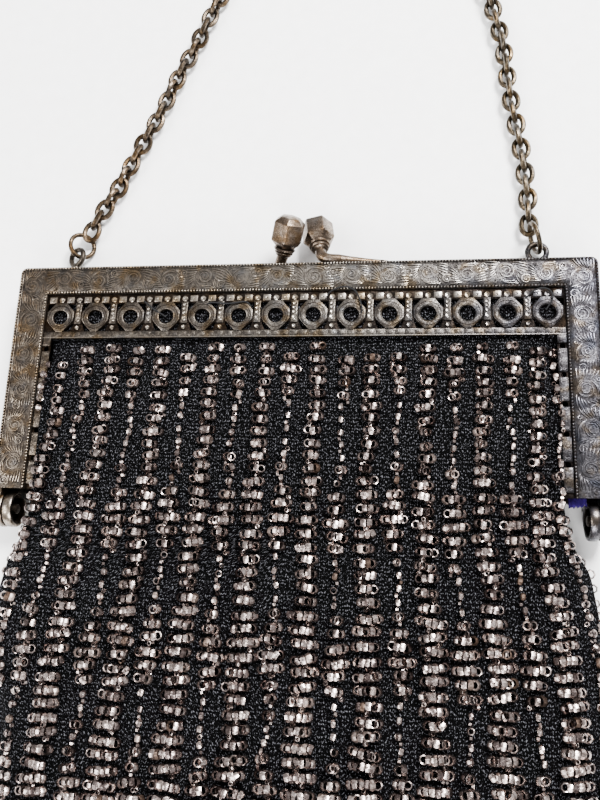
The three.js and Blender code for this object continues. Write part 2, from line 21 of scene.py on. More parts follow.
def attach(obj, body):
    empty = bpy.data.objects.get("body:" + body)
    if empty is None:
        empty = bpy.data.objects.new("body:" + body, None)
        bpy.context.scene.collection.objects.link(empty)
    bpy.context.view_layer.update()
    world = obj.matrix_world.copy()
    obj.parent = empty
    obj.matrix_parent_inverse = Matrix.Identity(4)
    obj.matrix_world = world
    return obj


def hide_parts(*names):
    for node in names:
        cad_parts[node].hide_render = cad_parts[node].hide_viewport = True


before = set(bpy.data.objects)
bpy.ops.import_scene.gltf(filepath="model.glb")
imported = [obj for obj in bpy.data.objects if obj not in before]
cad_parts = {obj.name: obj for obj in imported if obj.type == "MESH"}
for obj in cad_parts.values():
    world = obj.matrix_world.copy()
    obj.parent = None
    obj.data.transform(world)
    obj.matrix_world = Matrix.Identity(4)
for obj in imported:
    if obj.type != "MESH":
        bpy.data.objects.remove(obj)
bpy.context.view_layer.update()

LOG = logging.getLogger("purse")
MM = 0.001
UP = (0.0, 0.0, 1.0)
SHARP_EDGE = math.radians(38)

FRAME_WIDTH = 130.0
FRAME_DEPTH = 10.0
TOP_EDGE = 3.35
TOP_BAND = 6.7
LEG_BAND = 7.15
LEG_BOTTOM = -48.45
BAND_INNER = TOP_EDGE - TOP_BAND
LEG_INNER = FRAME_WIDTH / 2 - LEG_BAND
GALLERY_BOTTOM = -14.09
HINGE_Y = -52.45


# Gathering corners and faces

Faces = list[np.ndarray]


def volume(corners: np.ndarray, faces: Faces) -> float:
    """Works out the volume that faces close in.

    Args:
        corners: Places of the corners.
        faces: Runs of faces, each run with one number of corners.

    Returns:
        The volume, below zero where the faces point inwards.
    """
    total = 0.0
    for run in faces:
        for turn in range(1, run.shape[1] - 1):
            a, b, c = corners[run[:, 0]], corners[run[:, turn]], corners[run[:, turn + 1]]
            total += float(np.einsum("ij,ij->", a, np.cross(b, c))) / 6
    return total


@dataclass
class Draft:
    """Corners and faces of one piece, in millimetres, gathered before its mesh is made."""

    corners: list[np.ndarray] = field(default_factory=list)
    faces: list[tuple[np.ndarray, int, bool]] = field(default_factory=list)
    tones: list[np.ndarray] = field(default_factory=list)
    count: int = 0
    flat_map: np.ndarray | None = None

    def add(self, corners: np.ndarray, faces: Faces, coat: int = 0, smooth: bool = True,
            tone: Any = 0.5) -> None:
        """Adds corners and the faces that join them.

        Args:
            corners: Places of the new corners.
            faces: Runs of faces, counted from the first new corner.
            coat: Which of the piece's materials they wear.
            smooth: Whether they are shaded as one round surface.
            tone: A number for each corner, or one for all, that the materials vary by.
        """
        corners = np.asarray(corners, float).reshape(-1, 3)
        self.faces += [(np.asarray(run) + self.count, coat, smooth) for run in faces]
        self.corners.append(corners)
        self.tones.append(np.broadcast_to(np.asarray(tone, float), len(corners)))
        self.count += len(corners)

    def skin(self, rings: np.ndarray, closed: bool = False, **look: Any) -> None:
        """Joins equal rings of corners into one body, capped unless its ends meet.

        Args:
            rings: Rows of rings of corners.
            closed: Whether the last ring joins the first.
            look: The coat, smooth and tone that add takes.
        """
        rings = np.asarray(rings, float)
        rows, sides = rings.shape[:2]
        index = np.arange(rows * sides).reshape(rows, sides)
        run = np.vstack([index, index[:1]]) if closed else index
        beside = np.roll(run, -1, axis=1)
        faces = [np.stack([run[:-1], beside[:-1], beside[1:], run[1:]], axis=-1).reshape(-1, 4)]
        if not closed:
            faces += [index[:1, ::-1], index[-1:]]
        corners = rings.reshape(-1, 3)
        if volume(corners, faces) < 0:
            faces = [run[:, ::-1] for run in faces]
        self.add(corners, faces, **look)

    def mirrored(self) -> "Draft":
        """Gives the same draft on the other half of the frame, as seen in the seam between the halves."""
        flip = np.array([1.0, 1.0, -1.0])
        shift = np.array([0.0, 0.0, FRAME_DEPTH])
        corners = [part * flip + shift for part in self.corners]
        faces = [(run[:, ::-1], coat, smooth) for run, coat, smooth in self.faces]
        return Draft(corners, faces, self.tones, self.count)

    def piece(self, name: str, coats: Sequence[bpy.types.Material], slot: str,
              *replaced: str) -> bpy.types.Object:
        """Makes one object of the gathered faces, riding on the purse.

        Args:
            name: The object's name.
            coats: Its materials, in the order that the faces count them.
            slot: The name of a material slot; not used.
            replaced: The solids of the frame that it stands for.

        Returns:
            The new object.
        """
        mesh = bpy.data.meshes.new(name)
        mesh.vertices.add(self.count)
        mesh.vertices.foreach_set("co", (np.concatenate(self.corners) * MM).ravel())
        sizes = np.concatenate([np.full(len(run), run.shape[1]) for run, _, _ in self.faces])
        mesh.loops.add(int(sizes.sum()))
        mesh.loops.foreach_set("vertex_index", np.concatenate([run.ravel() for run, _, _ in self.faces]))
        mesh.polygons.add(len(sizes))
        mesh.polygons.foreach_set("loop_start", np.concatenate([[0], np.cumsum(sizes)[:-1]]))
        mesh.polygons.foreach_set("loop_total", sizes)
        worn = np.concatenate([np.full(len(run), coat) for run, coat, _ in self.faces])
        mesh.polygons.foreach_set("material_index", worn)
        smooth = np.concatenate([np.full(len(run), look) for run, _, look in self.faces])
        mesh.polygons.foreach_set("use_smooth", smooth)
        if self.flat_map is not None:
            mesh.uv_layers.new(name="stitches").uv.foreach_set("vector", self.flat_map.ravel())
        tone = mesh.attributes.new("tone", "FLOAT", "POINT")
        tone.data.foreach_set("value", np.concatenate(self.tones))
        mesh.update(calc_edges=True)
        mesh.validate()
        mesh.set_sharp_from_angle(angle=SHARP_EDGE)
        for coat in coats:
            mesh.materials.append(coat)
        made = bpy.data.objects.new(name, mesh)
        bpy.context.scene.collection.objects.link(made)
        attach(made, "root")
        if replaced:
            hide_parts(*replaced)
        LOG.info("%s: %d faces", name, len(sizes))
        return made


# Shapes

def circle(radius: float, sides: int, centre: Sequence[float] = (0.0, 0.0)) -> np.ndarray:
    """Gives the corners of a round outline.

    Args:
        radius: Its radius.
        sides: How many corners it has.
        centre: Its middle.

    Returns:
        One row for each corner.
    """
    angle = np.arange(sides) * 2 * math.pi / sides
    return np.stack([np.cos(angle), np.sin(angle)], axis=1) * radius + np.asarray(centre)


def sweep(path: np.ndarray, section: np.ndarray, widths: np.ndarray | float = 1.0, closed: bool = False,
          up: Sequence[float] = UP) -> np.ndarray:
    """Carries a section along a path.

    Args:
        path: The places that the section's middle passes.
        section: The section, across the path and upwards.
        widths: How much the section is scaled at each place.
        closed: Whether the path's end meets its start.
        up: The direction that the section's second axis keeps to.

    Returns:
        A ring of corners for each place of the path.
    """
    path = np.asarray(path, float)
    if closed:
        ahead = np.roll(path, -1, axis=0) - np.roll(path, 1, axis=0)
    else:
        ahead = np.gradient(path, axis=0)
    ahead /= np.linalg.norm(ahead, axis=1, keepdims=True)
    side = np.cross(ahead, up)
    side /= np.linalg.norm(side, axis=1, keepdims=True)
    lift = np.cross(side, ahead)
    scale = np.broadcast_to(np.asarray(widths, float), len(path))[:, None, None]
    return path[:, None] + scale * (section[None, :, :1] * side[:, None] + section[None, :, 1:] * lift[:, None])


def turned(profile: Sequence[Sequence[float]], centre: Sequence[float], axis: Sequence[float],
           sides: int = 32) -> np.ndarray:
    """Turns a profile about a line.

    Args:
        profile: Pairs of radius and distance along the line.
        centre: The place that distances are counted from.
        axis: The line's direction.
        sides: How many sides the body has.

    Returns:
        A ring of corners for each pair of the profile.
    """
    spin = np.array(Vector(UP).rotation_difference(Vector(axis)).to_matrix())
    rings = [np.column_stack([circle(radius, sides), np.full(sides, along)]) for radius, along in profile]
    return np.array(rings) @ spin.T + np.asarray(centre)


def faces_of(mesh: bmesh.types.BMesh) -> tuple[np.ndarray, Faces]:
    """Reads the corners and faces of a mesh that one of Blender's own tools made.

    Args:
        mesh: The mesh, open for editing.

    Returns:
        Its corners and its faces, in runs of equal size.
    """
    mesh.verts.index_update()
    corners = np.array([corner.co for corner in mesh.verts])
    runs: dict[int, list[list[int]]] = {}
    for face in mesh.faces:
        runs.setdefault(len(face.verts), []).append([corner.index for corner in face.verts])
    return corners, [np.array(run) for run in runs.values()]


def plate(outlines: Sequence[Any], low: float, high: float, bevel: float) -> tuple[np.ndarray, Faces]:
    """Cuts a flat plate with its edges rounded.

    Args:
        outlines: Its outline, and those of its holes.
        low: The height of its underside.
        high: The height of its top.
        bevel: The radius of its edges.

    Returns:
        Its corners and its faces.
    """
    curve = bpy.data.curves.new("cutting", "CURVE")
    curve.dimensions = "2D"
    curve.fill_mode = "BOTH"
    curve.extrude = (high - low) / 2 - bevel
    curve.bevel_depth = bevel
    curve.bevel_resolution = 1
    curve.offset = -bevel
    for outline in outlines:
        spline = curve.splines.new("POLY")
        spline.points.add(len(outline) - 1)
        flat = np.zeros((len(outline), 4))
        flat[:, :2] = outline
        flat[:, 3] = 1
        spline.points.foreach_set("co", flat.ravel())
        spline.use_cyclic_u = True
    holder = bpy.data.objects.new("cutting", curve)
    cut = bpy.data.meshes.new_from_object(holder)
    work = bmesh.new()
    work.from_mesh(cut)
    bmesh.ops.remove_doubles(work, verts=work.verts, dist=0.001)
    bmesh.ops.recalc_face_normals(work, faces=work.faces)
    corners, faces = faces_of(work)
    work.free()
    bpy.data.objects.remove(holder)
    bpy.data.curves.remove(curve)
    bpy.data.meshes.remove(cut)
    return corners + np.array([0, 0, (low + high) / 2]), faces


def rectangle(left: float, bottom: float, right: float, top: float) -> list[tuple[float, float]]:
    """Gives the four corners of an upright rectangle."""
    return [(left, bottom), (right, bottom), (right, top), (left, top)]


def bend(points: Sequence[Sequence[float]], steps: int) -> np.ndarray:
    """Draws one smooth bend from its start, its pull and its end.

    Args:
        points: The three places.
        steps: How many places the line has.

    Returns:
        The places along the bend.
    """
    start, pull, end = (np.asarray(point, float) for point in points)
    share = np.linspace(0, 1, steps)[:, None]
    return (1 - share) ** 2 * start + 2 * share * (1 - share) * pull + share**2 * end


def smooth_route(points: Sequence[Sequence[float]], spacing: float) -> np.ndarray:
    """Draws a smooth line through chosen points, with places at even spacing.

    Args:
        points: The chosen points.
        spacing: The distance between places, fitted so that the last one ends the line.

    Returns:
        The places along the line.
    """
    chosen = np.asarray(points, float)
    padded = np.vstack([2 * chosen[0] - chosen[1], chosen, 2 * chosen[-1] - chosen[-2]])
    share = np.linspace(0, 1, 24, endpoint=False)[:, None]
    fine = []
    for a, b, c, d in zip(padded, padded[1:], padded[2:], padded[3:]):
        fine.append(0.5 * (2 * b + (c - a) * share + (2 * a - 5 * b + 4 * c - d) * share**2
                           + (3 * b - a - 3 * c + d) * share**3))
    line = np.vstack([*fine, chosen[-1:]])
    along = np.concatenate([[0], np.cumsum(np.linalg.norm(np.diff(line, axis=0), axis=1))])
    places = np.linspace(0, along[-1], round(along[-1] / spacing) + 1)
    return np.column_stack([np.interp(places, along, line[:, axis]) for axis in range(line.shape[1])])


# Finishes

def shade(colour: str) -> tuple[float, float, float, float]:
    """Turns an sRGB hex colour to the linear one that a shader takes.

    Args:
        colour: The colour, such as #8f867c.

    Returns:
        Red, green, blue and full cover.
    """
    parts = [int(colour[at:at + 2], 16) / 255 for at in (1, 3, 5)]
    red, green, blue = (part / 12.92 if part <= 0.04045 else ((part + 0.055) / 1.055) ** 2.4 for part in parts)
    return red, green, blue, 1.0


def node(tree: bpy.types.NodeTree, kind: str, inputs: dict[Any, Any] | None = None,
         stops: Sequence[tuple[float, str]] = (), **settings: Any) -> Any:
    """Adds a node with its settings, values and links.

    Args:
        tree: The material's nodes.
        kind: The node's type, without the word Shader.
        inputs: A value, or a socket to link, for each input by name or number.
        stops: The place and the colour of each stop, for a node that has a colour ramp.
        settings: The node's own properties.

    Returns:
        The new node.
    """
    made = tree.nodes.new("ShaderNode" + kind)
    for name, value in settings.items():
        setattr(made, name, value)
    for socket, value in (inputs or {}).items():
        if isinstance(value, bpy.types.NodeSocket):
            tree.links.new(value, made.inputs[socket])
        else:
            made.inputs[socket].default_value = value
    if stops:
        elements = made.color_ramp.elements
        while len(elements) < len(stops):
            elements.new(1.0)
        for element, (place, colour) in zip(elements, stops):
            element.position = place
            element.color = shade(colour)
    return made


def blank(name: str) -> tuple[bpy.types.Material, bpy.types.NodeTree]:
    """Makes an empty material.

    Args:
        name: Its name.

    Returns:
        The material and its nodes.
    """
    made = bpy.data.materials.new(name)
    made.use_nodes = True
    made.node_tree.nodes.clear()
    return made, made.node_tree


# The faint colours that old tarnish takes on: straw where it is thin, blue where it is thicker
STRAW_BLOOM = "#f7e7cd"
BLUE_BLOOM = "#dfe6f2"
PLAIN_WHITE = "#ffffff"


@dataclass(frozen=True)
class MetalFinish:
    """A metal surface: its tarnish in patches, the colours that bloom on it, its fine grain, its wear, and a
    painted cast of light across the purse, warm at its left and cool at its right.
    """

    name: str
    deep: str
    middle: str
    bright: str
    # Painted light: warm and cool are the colours of a painted cast, warm at the purse's left and cool, often
    # darker, at its right
    warm: str
    cool: str
    smoothest: float
    roughest: float
    patch_size: float = 7.0
    bloom_size: float = 3.4
    grain_size: float = 0.35
    grain_depth: float = 0.03
    metallic: float = 1.0

    def material(self) -> bpy.types.Material:
        """Makes the material.

        Returns:
            The material, coloured by tarnish patches and by painted light that runs from a warm cast at the
            purse's left to a cool one at its right.
        """
        made, tree = blank(self.name)
        place = node(tree, "TexCoord").outputs["Object"]
        patches = node(tree, "TexNoise", {"Vector": place, "Scale": 1 / (self.patch_size * MM), "Detail": 5.0,
                                          "Roughness": 0.62})
        grain = node(tree, "TexNoise", {"Vector": place, "Scale": 1 / (self.grain_size * MM), "Detail": 3.0,
                                        "Roughness": 0.6})
        mixed = node(tree, "Math", {0: patches.outputs[0], 1: grain.outputs[0]}, operation="ADD")
        spread = node(tree, "MapRange", {0: mixed.outputs[0], 1: 0.72, 2: 1.28})
        tarnish = node(tree, "ValToRGB", {0: spread.outputs[0]},
                       [(0.0, self.deep), (0.5, self.middle), (1.0, self.bright)])
        # Painted light: a cast across the purse, warm at the left, plain past the middle and cool at the right
        across = node(tree, "SeparateXYZ", {0: place})
        side = node(tree, "MapRange", {0: across.outputs[0], 1: -FRAME_WIDTH / 2 * MM, 2: FRAME_WIDTH / 2 * MM})
        painted_side_light = node(tree, "ValToRGB", {0: side.outputs[0]},
                    [(0.0, self.warm), (0.55, PLAIN_WHITE), (1.0, self.cool)])
        bloom = node(tree, "TexNoise", {"Vector": place, "Scale": 1 / (self.bloom_size * MM), "Detail": 2.0})
        hue = node(tree, "ValToRGB", {0: bloom.outputs[0]},
                   [(0.36, STRAW_BLOOM), (0.48, PLAIN_WHITE), (0.56, PLAIN_WHITE), (0.7, BLUE_BLOOM)])
        colour = tarnish.outputs[0]
        for filter_colour in (painted_side_light, hue):
            colour = node(tree, "Mix", {0: 1.0, 6: colour, 7: filter_colour.outputs[0]}, data_type="RGBA",
                          blend_type="MULTIPLY").outputs[2]
        gloss = node(tree, "MapRange", {0: spread.outputs[0], 3: self.roughest, 4: self.smoothest})
        relief = node(tree, "Bump", {"Height": grain.outputs[0], "Strength": 0.6,
                                     "Distance": self.grain_depth * MM})
        shader = node(tree, "BsdfPrincipled", {
            "Base Color": colour, "Metallic": self.metallic,
            "Roughness": gloss.outputs[0], "Normal": relief.outputs[0]})
        node(tree, "OutputMaterial", {0: shader.outputs[0]})
        return made


@dataclass(frozen=True)
class BeadFinish:
    """Cut steel: small ground facets, each bead of its own shade, painted glints in fine specks, and a few
    rusted ones.
    """

    name: str = "Cut steel, ground facets"
    shades: tuple[tuple[float, str], ...] = (
        (0.0, "#5a4f4c"), (0.3, "#8a7e7a"), (0.8, "#bcaea8"), (0.972, "#a0918a"), (0.985, "#56463c"),
        (1.0, "#453a34"),
    )
    # Painted glints: a darker colour that noise mixes into each bead in fine specks, so that the specks left
    # bright read as glints of small facets
    painted_sparkle: str = "#7d736d"
    speck_share: float = 0.75
    roughness: float = 0.27
    rusted_roughness: float = 0.55
    grain_size: float = 0.42
    grain_depth: float = 0.07

    def material(self) -> bpy.types.Material:
        """Makes the material.

        Returns:
            The material, coloured bead by bead by the tone that each one carries.
        """
        made, tree = blank(self.name)
        tone = node(tree, "Attribute", attribute_name="tone").outputs["Fac"]
        own = node(tree, "ValToRGB", {0: tone}, self.shades)
        place = node(tree, "TexCoord").outputs["Object"]
        grain = node(tree, "TexNoise", {"Vector": place, "Scale": 1 / (self.grain_size * MM), "Detail": 2.0})
        # Painted glints: fine light and dark specks multiplied into the colour
        painted_sparkle = node(tree, "ValToRGB", {0: grain.outputs[0]}, [(0.34, self.painted_sparkle), (0.58, PLAIN_WHITE)])
        mixed = node(tree, "Mix", {0: self.speck_share, 6: own.outputs[0], 7: painted_sparkle.outputs[0]},
                     data_type="RGBA", blend_type="MULTIPLY")
        gloss = node(tree, "MapRange", {0: tone, 1: 0.9, 2: 1.0, 3: self.roughness, 4: self.rusted_roughness})
        relief = node(tree, "Bump", {"Height": grain.outputs[0], "Strength": 0.7,
                                     "Distance": self.grain_depth * MM})
        shader = node(tree, "BsdfPrincipled", {
            "Base Color": mixed.outputs[2], "Metallic": 1.0, "Roughness": gloss.outputs[0],
            "Normal": relief.outputs[0]})
        node(tree, "OutputMaterial", {0: shader.outputs[0]})
        return made


@dataclass(frozen=True)
class KnitFinish:
    """Plain knitting: two-legged stitches in rows, of a size that follows the cloth."""

    name: str = "Silk cord, hand knitted"
    stitch_width: float = 0.9
    stitch_height: float = 0.78
    slant: float = 1.5
    depth: float = 0.14
    painted_valley_shade: str = "#010101"
    thread: str = "#08080a"
    painted_glint: str = "#4b4b4f"
    wander_scale: float = 0.45
    fibre_scale: float = 2.6
    speck_scale: float = 2.1

    def sums(self) -> list[tuple[str, str, str, Any]]:
        """Lists the sums that turn a place on the cloth into the stitches' height and their painted light: shade
        in the valleys and glints on the ridges.

        Returns:
            For each sum the name of what it gives, its kind and its two terms, each a name or a number.
        """
        return [
            ("column", "DIVIDE", "x", self.stitch_width),
            ("row", "DIVIDE", "y", self.stitch_height),
            ("column_part", "FRACT", "column", 0.0),
            ("off_middle", "SUBTRACT", "column_part", 0.5),
            ("leg", "ABSOLUTE", "off_middle", 0.0),
            ("slope", "MULTIPLY", "leg", self.slant),
            ("raised_row", "ADD", "row", "slope"),
            ("climb", "FRACT", "raised_row", 0.0),
            ("climb_turn", "MULTIPLY", "climb", math.pi),
            ("ridge", "SINE", "climb_turn", 0.0),
            ("legs", "MULTIPLY", "column", 2.0),
            ("leg_part", "FRACT", "legs", 0.0),
            ("leg_turn", "MULTIPLY", "leg_part", math.pi),
            ("twin", "SINE", "leg_turn", 0.0),
            ("twin_share", "MULTIPLY", "twin", 0.7),
            ("twin_height", "ADD", "twin_share", 0.3),
            ("height", "MULTIPLY", "ridge", "twin_height"),
            ("fibres", "MULTIPLY", "fibre", 2.0),
            ("rough", "MULTIPLY", "height", "fibres"),
            ("specks", "MULTIPLY", "painted_sparkle", 1.8),
            ("sharp_specks", "POWER", "specks", 6.0),
            ("lit", "MULTIPLY", "rough", "sharp_specks"),
        ]

    def material(self) -> bpy.types.Material:
        """Makes the material.

        Returns:
            The material, whose stitches lie along the cloth's own flat map in millimetres.
        """
        made, tree = blank(self.name)

        flat = node(tree, "UVMap", uv_map="stitches").outputs[0]
        wander = node(tree, "TexNoise", {"Vector": flat, "Scale": self.wander_scale, "Detail": 2.0})
        moved = node(tree, "VectorMath", {0: wander.outputs["Color"], 1: (0.5, 0.5, 0.5)}, operation="ADD")
        spot = node(tree, "VectorMath", {0: flat, 1: moved.outputs[0]}, operation="ADD")
        parts = node(tree, "SeparateXYZ", {0: spot.outputs[0]})
        fibre = node(tree, "TexNoise", {"Vector": flat, "Scale": self.fibre_scale, "Detail": 4.0,
                                        "Roughness": 0.7})
        painted_sparkle = node(tree, "TexNoise", {"Vector": flat, "Scale": self.speck_scale, "Detail": 3.0,
                                        "Roughness": 0.8})
        found = {"x": parts.outputs[0], "y": parts.outputs[1], "fibre": fibre.outputs[0],
                 "painted_sparkle": painted_sparkle.outputs[0]}
        for name, operation, first, second in self.sums():
            terms = {0: found[first], 1: found.get(second, second)}
            found[name] = node(tree, "Math", terms, operation=operation).outputs[0]
        rough = found["rough"]
        # Painted light: painted shade in the valleys, near black on the threads and painted glints where the
        # ridges and the specks peak
        colour = node(tree, "ValToRGB", {0: found["lit"]},
                      [(0.25, self.painted_valley_shade), (0.7, self.thread), (1.0, self.painted_glint)]).outputs[0]
        relief = node(tree, "Bump", {"Height": rough, "Strength": 1.0, "Distance": self.depth * MM})
        shader = node(tree, "BsdfPrincipled", {
            "Base Color": colour, "Roughness": 0.95, "IOR": 1.5, "Specular IOR Level": 0.03,
            "Normal": relief.outputs[0]})
        node(tree, "OutputMaterial", {0: shader.outputs[0]})
        return made


@dataclass(frozen=True)
class ClothFinish:
    """Woven cloth, thread or paper: one colour with a fine weave."""

    name: str
    low: str
    high: str
    roughness: float
    thread_spacing: float = 0.3
    depth: float = 0.05
    specular: float = 0.5

    def material(self) -> bpy.types.Material:
        """Makes the material.

        Returns:
            The material, its weave drawn as crossed waves broken up by noise.
        """
        made, tree = blank(self.name)
        place = node(tree, "TexCoord").outputs["Object"]
        scale = 1 / (self.thread_spacing * MM)
        fibre = node(tree, "TexNoise", {"Vector": place, "Scale": scale * 0.6, "Detail": 4.0})
        weave = node(tree, "TexChecker", {"Vector": place, "Scale": scale})
        mixed = node(tree, "Math", {0: weave.outputs[1], 1: fibre.outputs[0]}, operation="MULTIPLY")
        colour = node(tree, "ValToRGB", {0: fibre.outputs[0]}, [(0.3, self.low), (0.7, self.high)])
        relief = node(tree, "Bump", {"Height": mixed.outputs[0], "Strength": 0.6, "Distance": self.depth * MM})
        shader = node(tree, "BsdfPrincipled", {
            "Base Color": colour.outputs[0], "Roughness": self.roughness, "IOR": 1.5,
            "Specular IOR Level": self.specular, "Normal": relief.outputs[0]})
        node(tree, "OutputMaterial", {0: shader.outputs[0]})
        return made


# Die-struck nickel silver, dulled in its ground: greyer and rougher than its worn lines
STRUCK_GROUND = MetalFinish("Nickel silver, die-struck, oxidised ground", "#191715", "#3e3a36", "#6b665f",
                            "#f1e8df", "#9da3b8", 0.3, 0.54, patch_size=3.2, grain_depth=0.09)
# The same metal where hands have polished the raised lines bright
WORN_RELIEF = MetalFinish("Nickel silver, raised lines worn bright", "#433e39", "#827b72", "#bdb6ab",
                          "#f1e8df", "#7c8195", 0.2, 0.42, patch_size=2.4)
# Tarnish left in the recesses, and painted shade where the same dark metal lines the hinge barrels and the gaps
# of the side strips: brown-black and almost without gloss
DEEP_TARNISH = MetalFinish("Nickel silver, tarnish and painted shade in the recesses", "#0a0908", "#171412", "#2e2823",
                           "#e8d3be", "#dcdce6", 0.5, 0.75, patch_size=2.0)
# Cast knobs, filed and rubbed by fingers: warm tan with an orange bloom
CAST_KNOB = MetalFinish("Nickel silver, cast and filed, rubbed warm", "#241d17", "#5a4e43", "#93867a",
                        "#ffe9d2", "#f2efef", 0.22, 0.46, patch_size=2.2, grain_size=0.25, grain_depth=0.08)
# Drawn wire of the chain: bronze-grey, dull in its bends
CHAIN_WIRE = MetalFinish("Nickel silver wire, drawn and bent, bronzed", "#191511", "#3d362e", "#706558",
                         "#f0dfcb", "#f0ead9", 0.26, 0.48, patch_size=1.6, grain_size=0.3, grain_depth=0.08)
# Iron pins, never polished
HINGE_IRON = MetalFinish("Iron pin, turned, darkened", "#100e0c", "#2e2925", "#5c544c", PLAIN_WHITE, PLAIN_WHITE,
                         0.35, 0.6, patch_size=1.2)
# Hardened steel ground to flat facets: each bead flashes warm white or goes grey-brown as it is turned
CUT_STEEL = BeadFinish()
# Black silk cord, knitted by hand: swallows the light but for fine glints, which are painted into its colour,
# with painted shade in the valleys between stitches. Its stitches are 0.9 mm wide and its painted glints about
# 0.5 mm, which is coarser than real fibres, so that they show
BLACK_KNIT = KnitFinish()
# Silk lining, plain woven: deep violet and without shine
VIOLET_LINING = ClothFinish("Silk lining, plain woven, violet", "#0d0524", "#21124a", 0.9, 0.35, 0.06, 0.05)
# Silk sewing thread, twisted, black
BLACK_THREAD = ClothFinish("Silk sewing thread, twisted, black", "#050506", "#111113", 0.7, 0.25, 0.03, 0.2)
# Matt card under the purse, near white
PALE_CARD = ClothFinish("Card, matt, near white", "#f5f4f3", "#fbfaf9", 0.9, 2.0, 0.02)


# The frame

@dataclass
class Strokes:
    """The traditional scrollwork of the band: coils and plumes repeated along it."""

    pitch: float = 8.2
    line_width: float = 0.23
    line_height: float = 0.27
    foot: float = 9.58
    free_width: float = 5.1
    coils: tuple[tuple[float, ...], ...] = (
        (0.0, -0.35, 1.95, 160, 2.3, 0.9), (0.05, -0.35, 1.7, 150, 0.6, 0.25),
        (4.1, 1.15, 1.15, 330, -1.8, 0.85),
        (4.1, 1.15, 0.95, 330, -0.5, 0.2), (2.25, 2.1, 0.4, 0, 1.0, 0.5), (-2.1, 2.05, 0.45, 180, -1.1, 0.6),
    )
    plumes: tuple[tuple[float, ...], ...] = (
        (-1.75, 0.75, -0.6, 2.5, 1.9, 1.6), (-1.5, 1.15, -0.3, 2.75, 2.3, 2.1),
        (-2.1, 0.4, -2.9, 1.9, -4.1, 2.3),
        (-2.25, 0.0, -3.1, 1.3, -4.3, 1.6), (-2.3, -0.45, -3.1, 0.6, -4.3, 0.75),
        (-2.25, -0.9, -3.1, -0.1, -4.4, 0.0),
        (-2.1, -1.3, -2.9, -0.8, -4.5, -0.75), (-1.8, -1.75, -2.7, -1.5, -4.5, -1.5),
        (-1.4, -2.1, -2.6, -2.2, -4.5, -2.2), (2.1, 0.5, 2.5, 1.9, 3.1, 2.2), (2.3, 0.0, 2.6, 0.9, 3.0, 1.3),
        (2.3, -0.5, 2.9, 0.3, 3.6, 0.2), (2.2, -1.0, 3.0, -0.5, 4.2, -0.3), (2.0, -1.5, 3.0, -1.2, 4.3, -0.9),
        (1.6, -2.0, 3.0, -1.9, 4.3, -1.5), (1.2, -2.4, 3.0, -2.5, 4.3, -2.1),
    )
    sway: tuple[tuple[float, float], ...] = (
        (1.0, 0.0), (0.92, 0.12), (1.04, -0.08), (0.88, 0.05), (1.0, -0.14))

    def cell(self) -> list[np.ndarray]:
        """Draws one repeat of the pattern, in its own flat frame.

        Returns:
            The lines of its coils and of the plumes round them.
        """
        lines = []
        for x, y, radius, start, turns, shrink in self.coils:
            share = np.linspace(0, 1, max(7, round(abs(turns) * radius * 9)))
            angle = math.radians(start) + share * turns * 2 * math.pi
            reach = radius * (1 - shrink * share)
            lines.append(np.column_stack([x + reach * np.cos(angle), y + reach * np.sin(angle)]))
        lines += [bend(np.reshape(plume, (3, 2)), 11) for plume in self.plumes]
        return lines

    def places(self) -> list[tuple[float, float, float, float]]:
        """Lists where the pattern repeats along the top and down both legs.

        Returns:
            For each repeat its middle, its turn and its hand.
        """
        reach = LEG_INNER + 0.4
        count = round(2 * reach / self.pitch)
        found = []
        for at in range(count):
            x = -reach + (at + 0.5) * 2 * reach / count
            found.append((x, 0.0, 0.0, 1.0 if at % 2 else -1.0))
        middle = FRAME_WIDTH / 2 - LEG_BAND / 2
        rows = round(-LEG_BOTTOM / self.pitch)
        for at in range(rows):
            y = -0.4 + (at + 0.1) * (LEG_BOTTOM + 3.6) / (rows - 0.6)
            hand = 1.0 if at % 2 else -1.0
            found += [(middle, y, -math.pi / 2, hand), (-middle, y, -math.pi / 2, -hand)]
        return found

    def draw(self, draft: Draft, coat: int) -> None:
        """Raises the whole pattern on the band.

        Args:
            draft: The frame half.
            coat: The coat of the worn lines.
        """
        lines = self.cell()
        half = self.line_width / 2
        crest = half * 0.45
        section = np.array([(-half, 0), (-crest, self.line_height), (crest, self.line_height), (half, 0)])
        edge = self.free_width / 2
        for at, (x, y, turn, hand) in enumerate(self.places()):
            spin = np.array([[math.cos(turn), -math.sin(turn)], [math.sin(turn), math.cos(turn)]])
            size, lean = self.sway[at % len(self.sway)]
            swing = np.array([[math.cos(lean), -math.sin(lean)], [math.sin(lean), math.cos(lean)]])
            for line in lines:
                swung = (line * (size, size * hand)) @ swing.T
                swung[:, 1] = np.clip(swung[:, 1], -edge, edge)
                flat = swung @ spin.T + (x, y)
                path = np.column_stack([flat, np.full(len(flat), self.foot)])
                share = np.linspace(0.1, 0.94, len(path))
                draft.skin(sweep(path, section, 0.5 + 0.6 * np.sin(np.pi * share)), coat=coat, smooth=False)


class Half(Enum):
    """Which half of the hinged frame is meant."""

    FRONT = "front"
    BACK = "back"


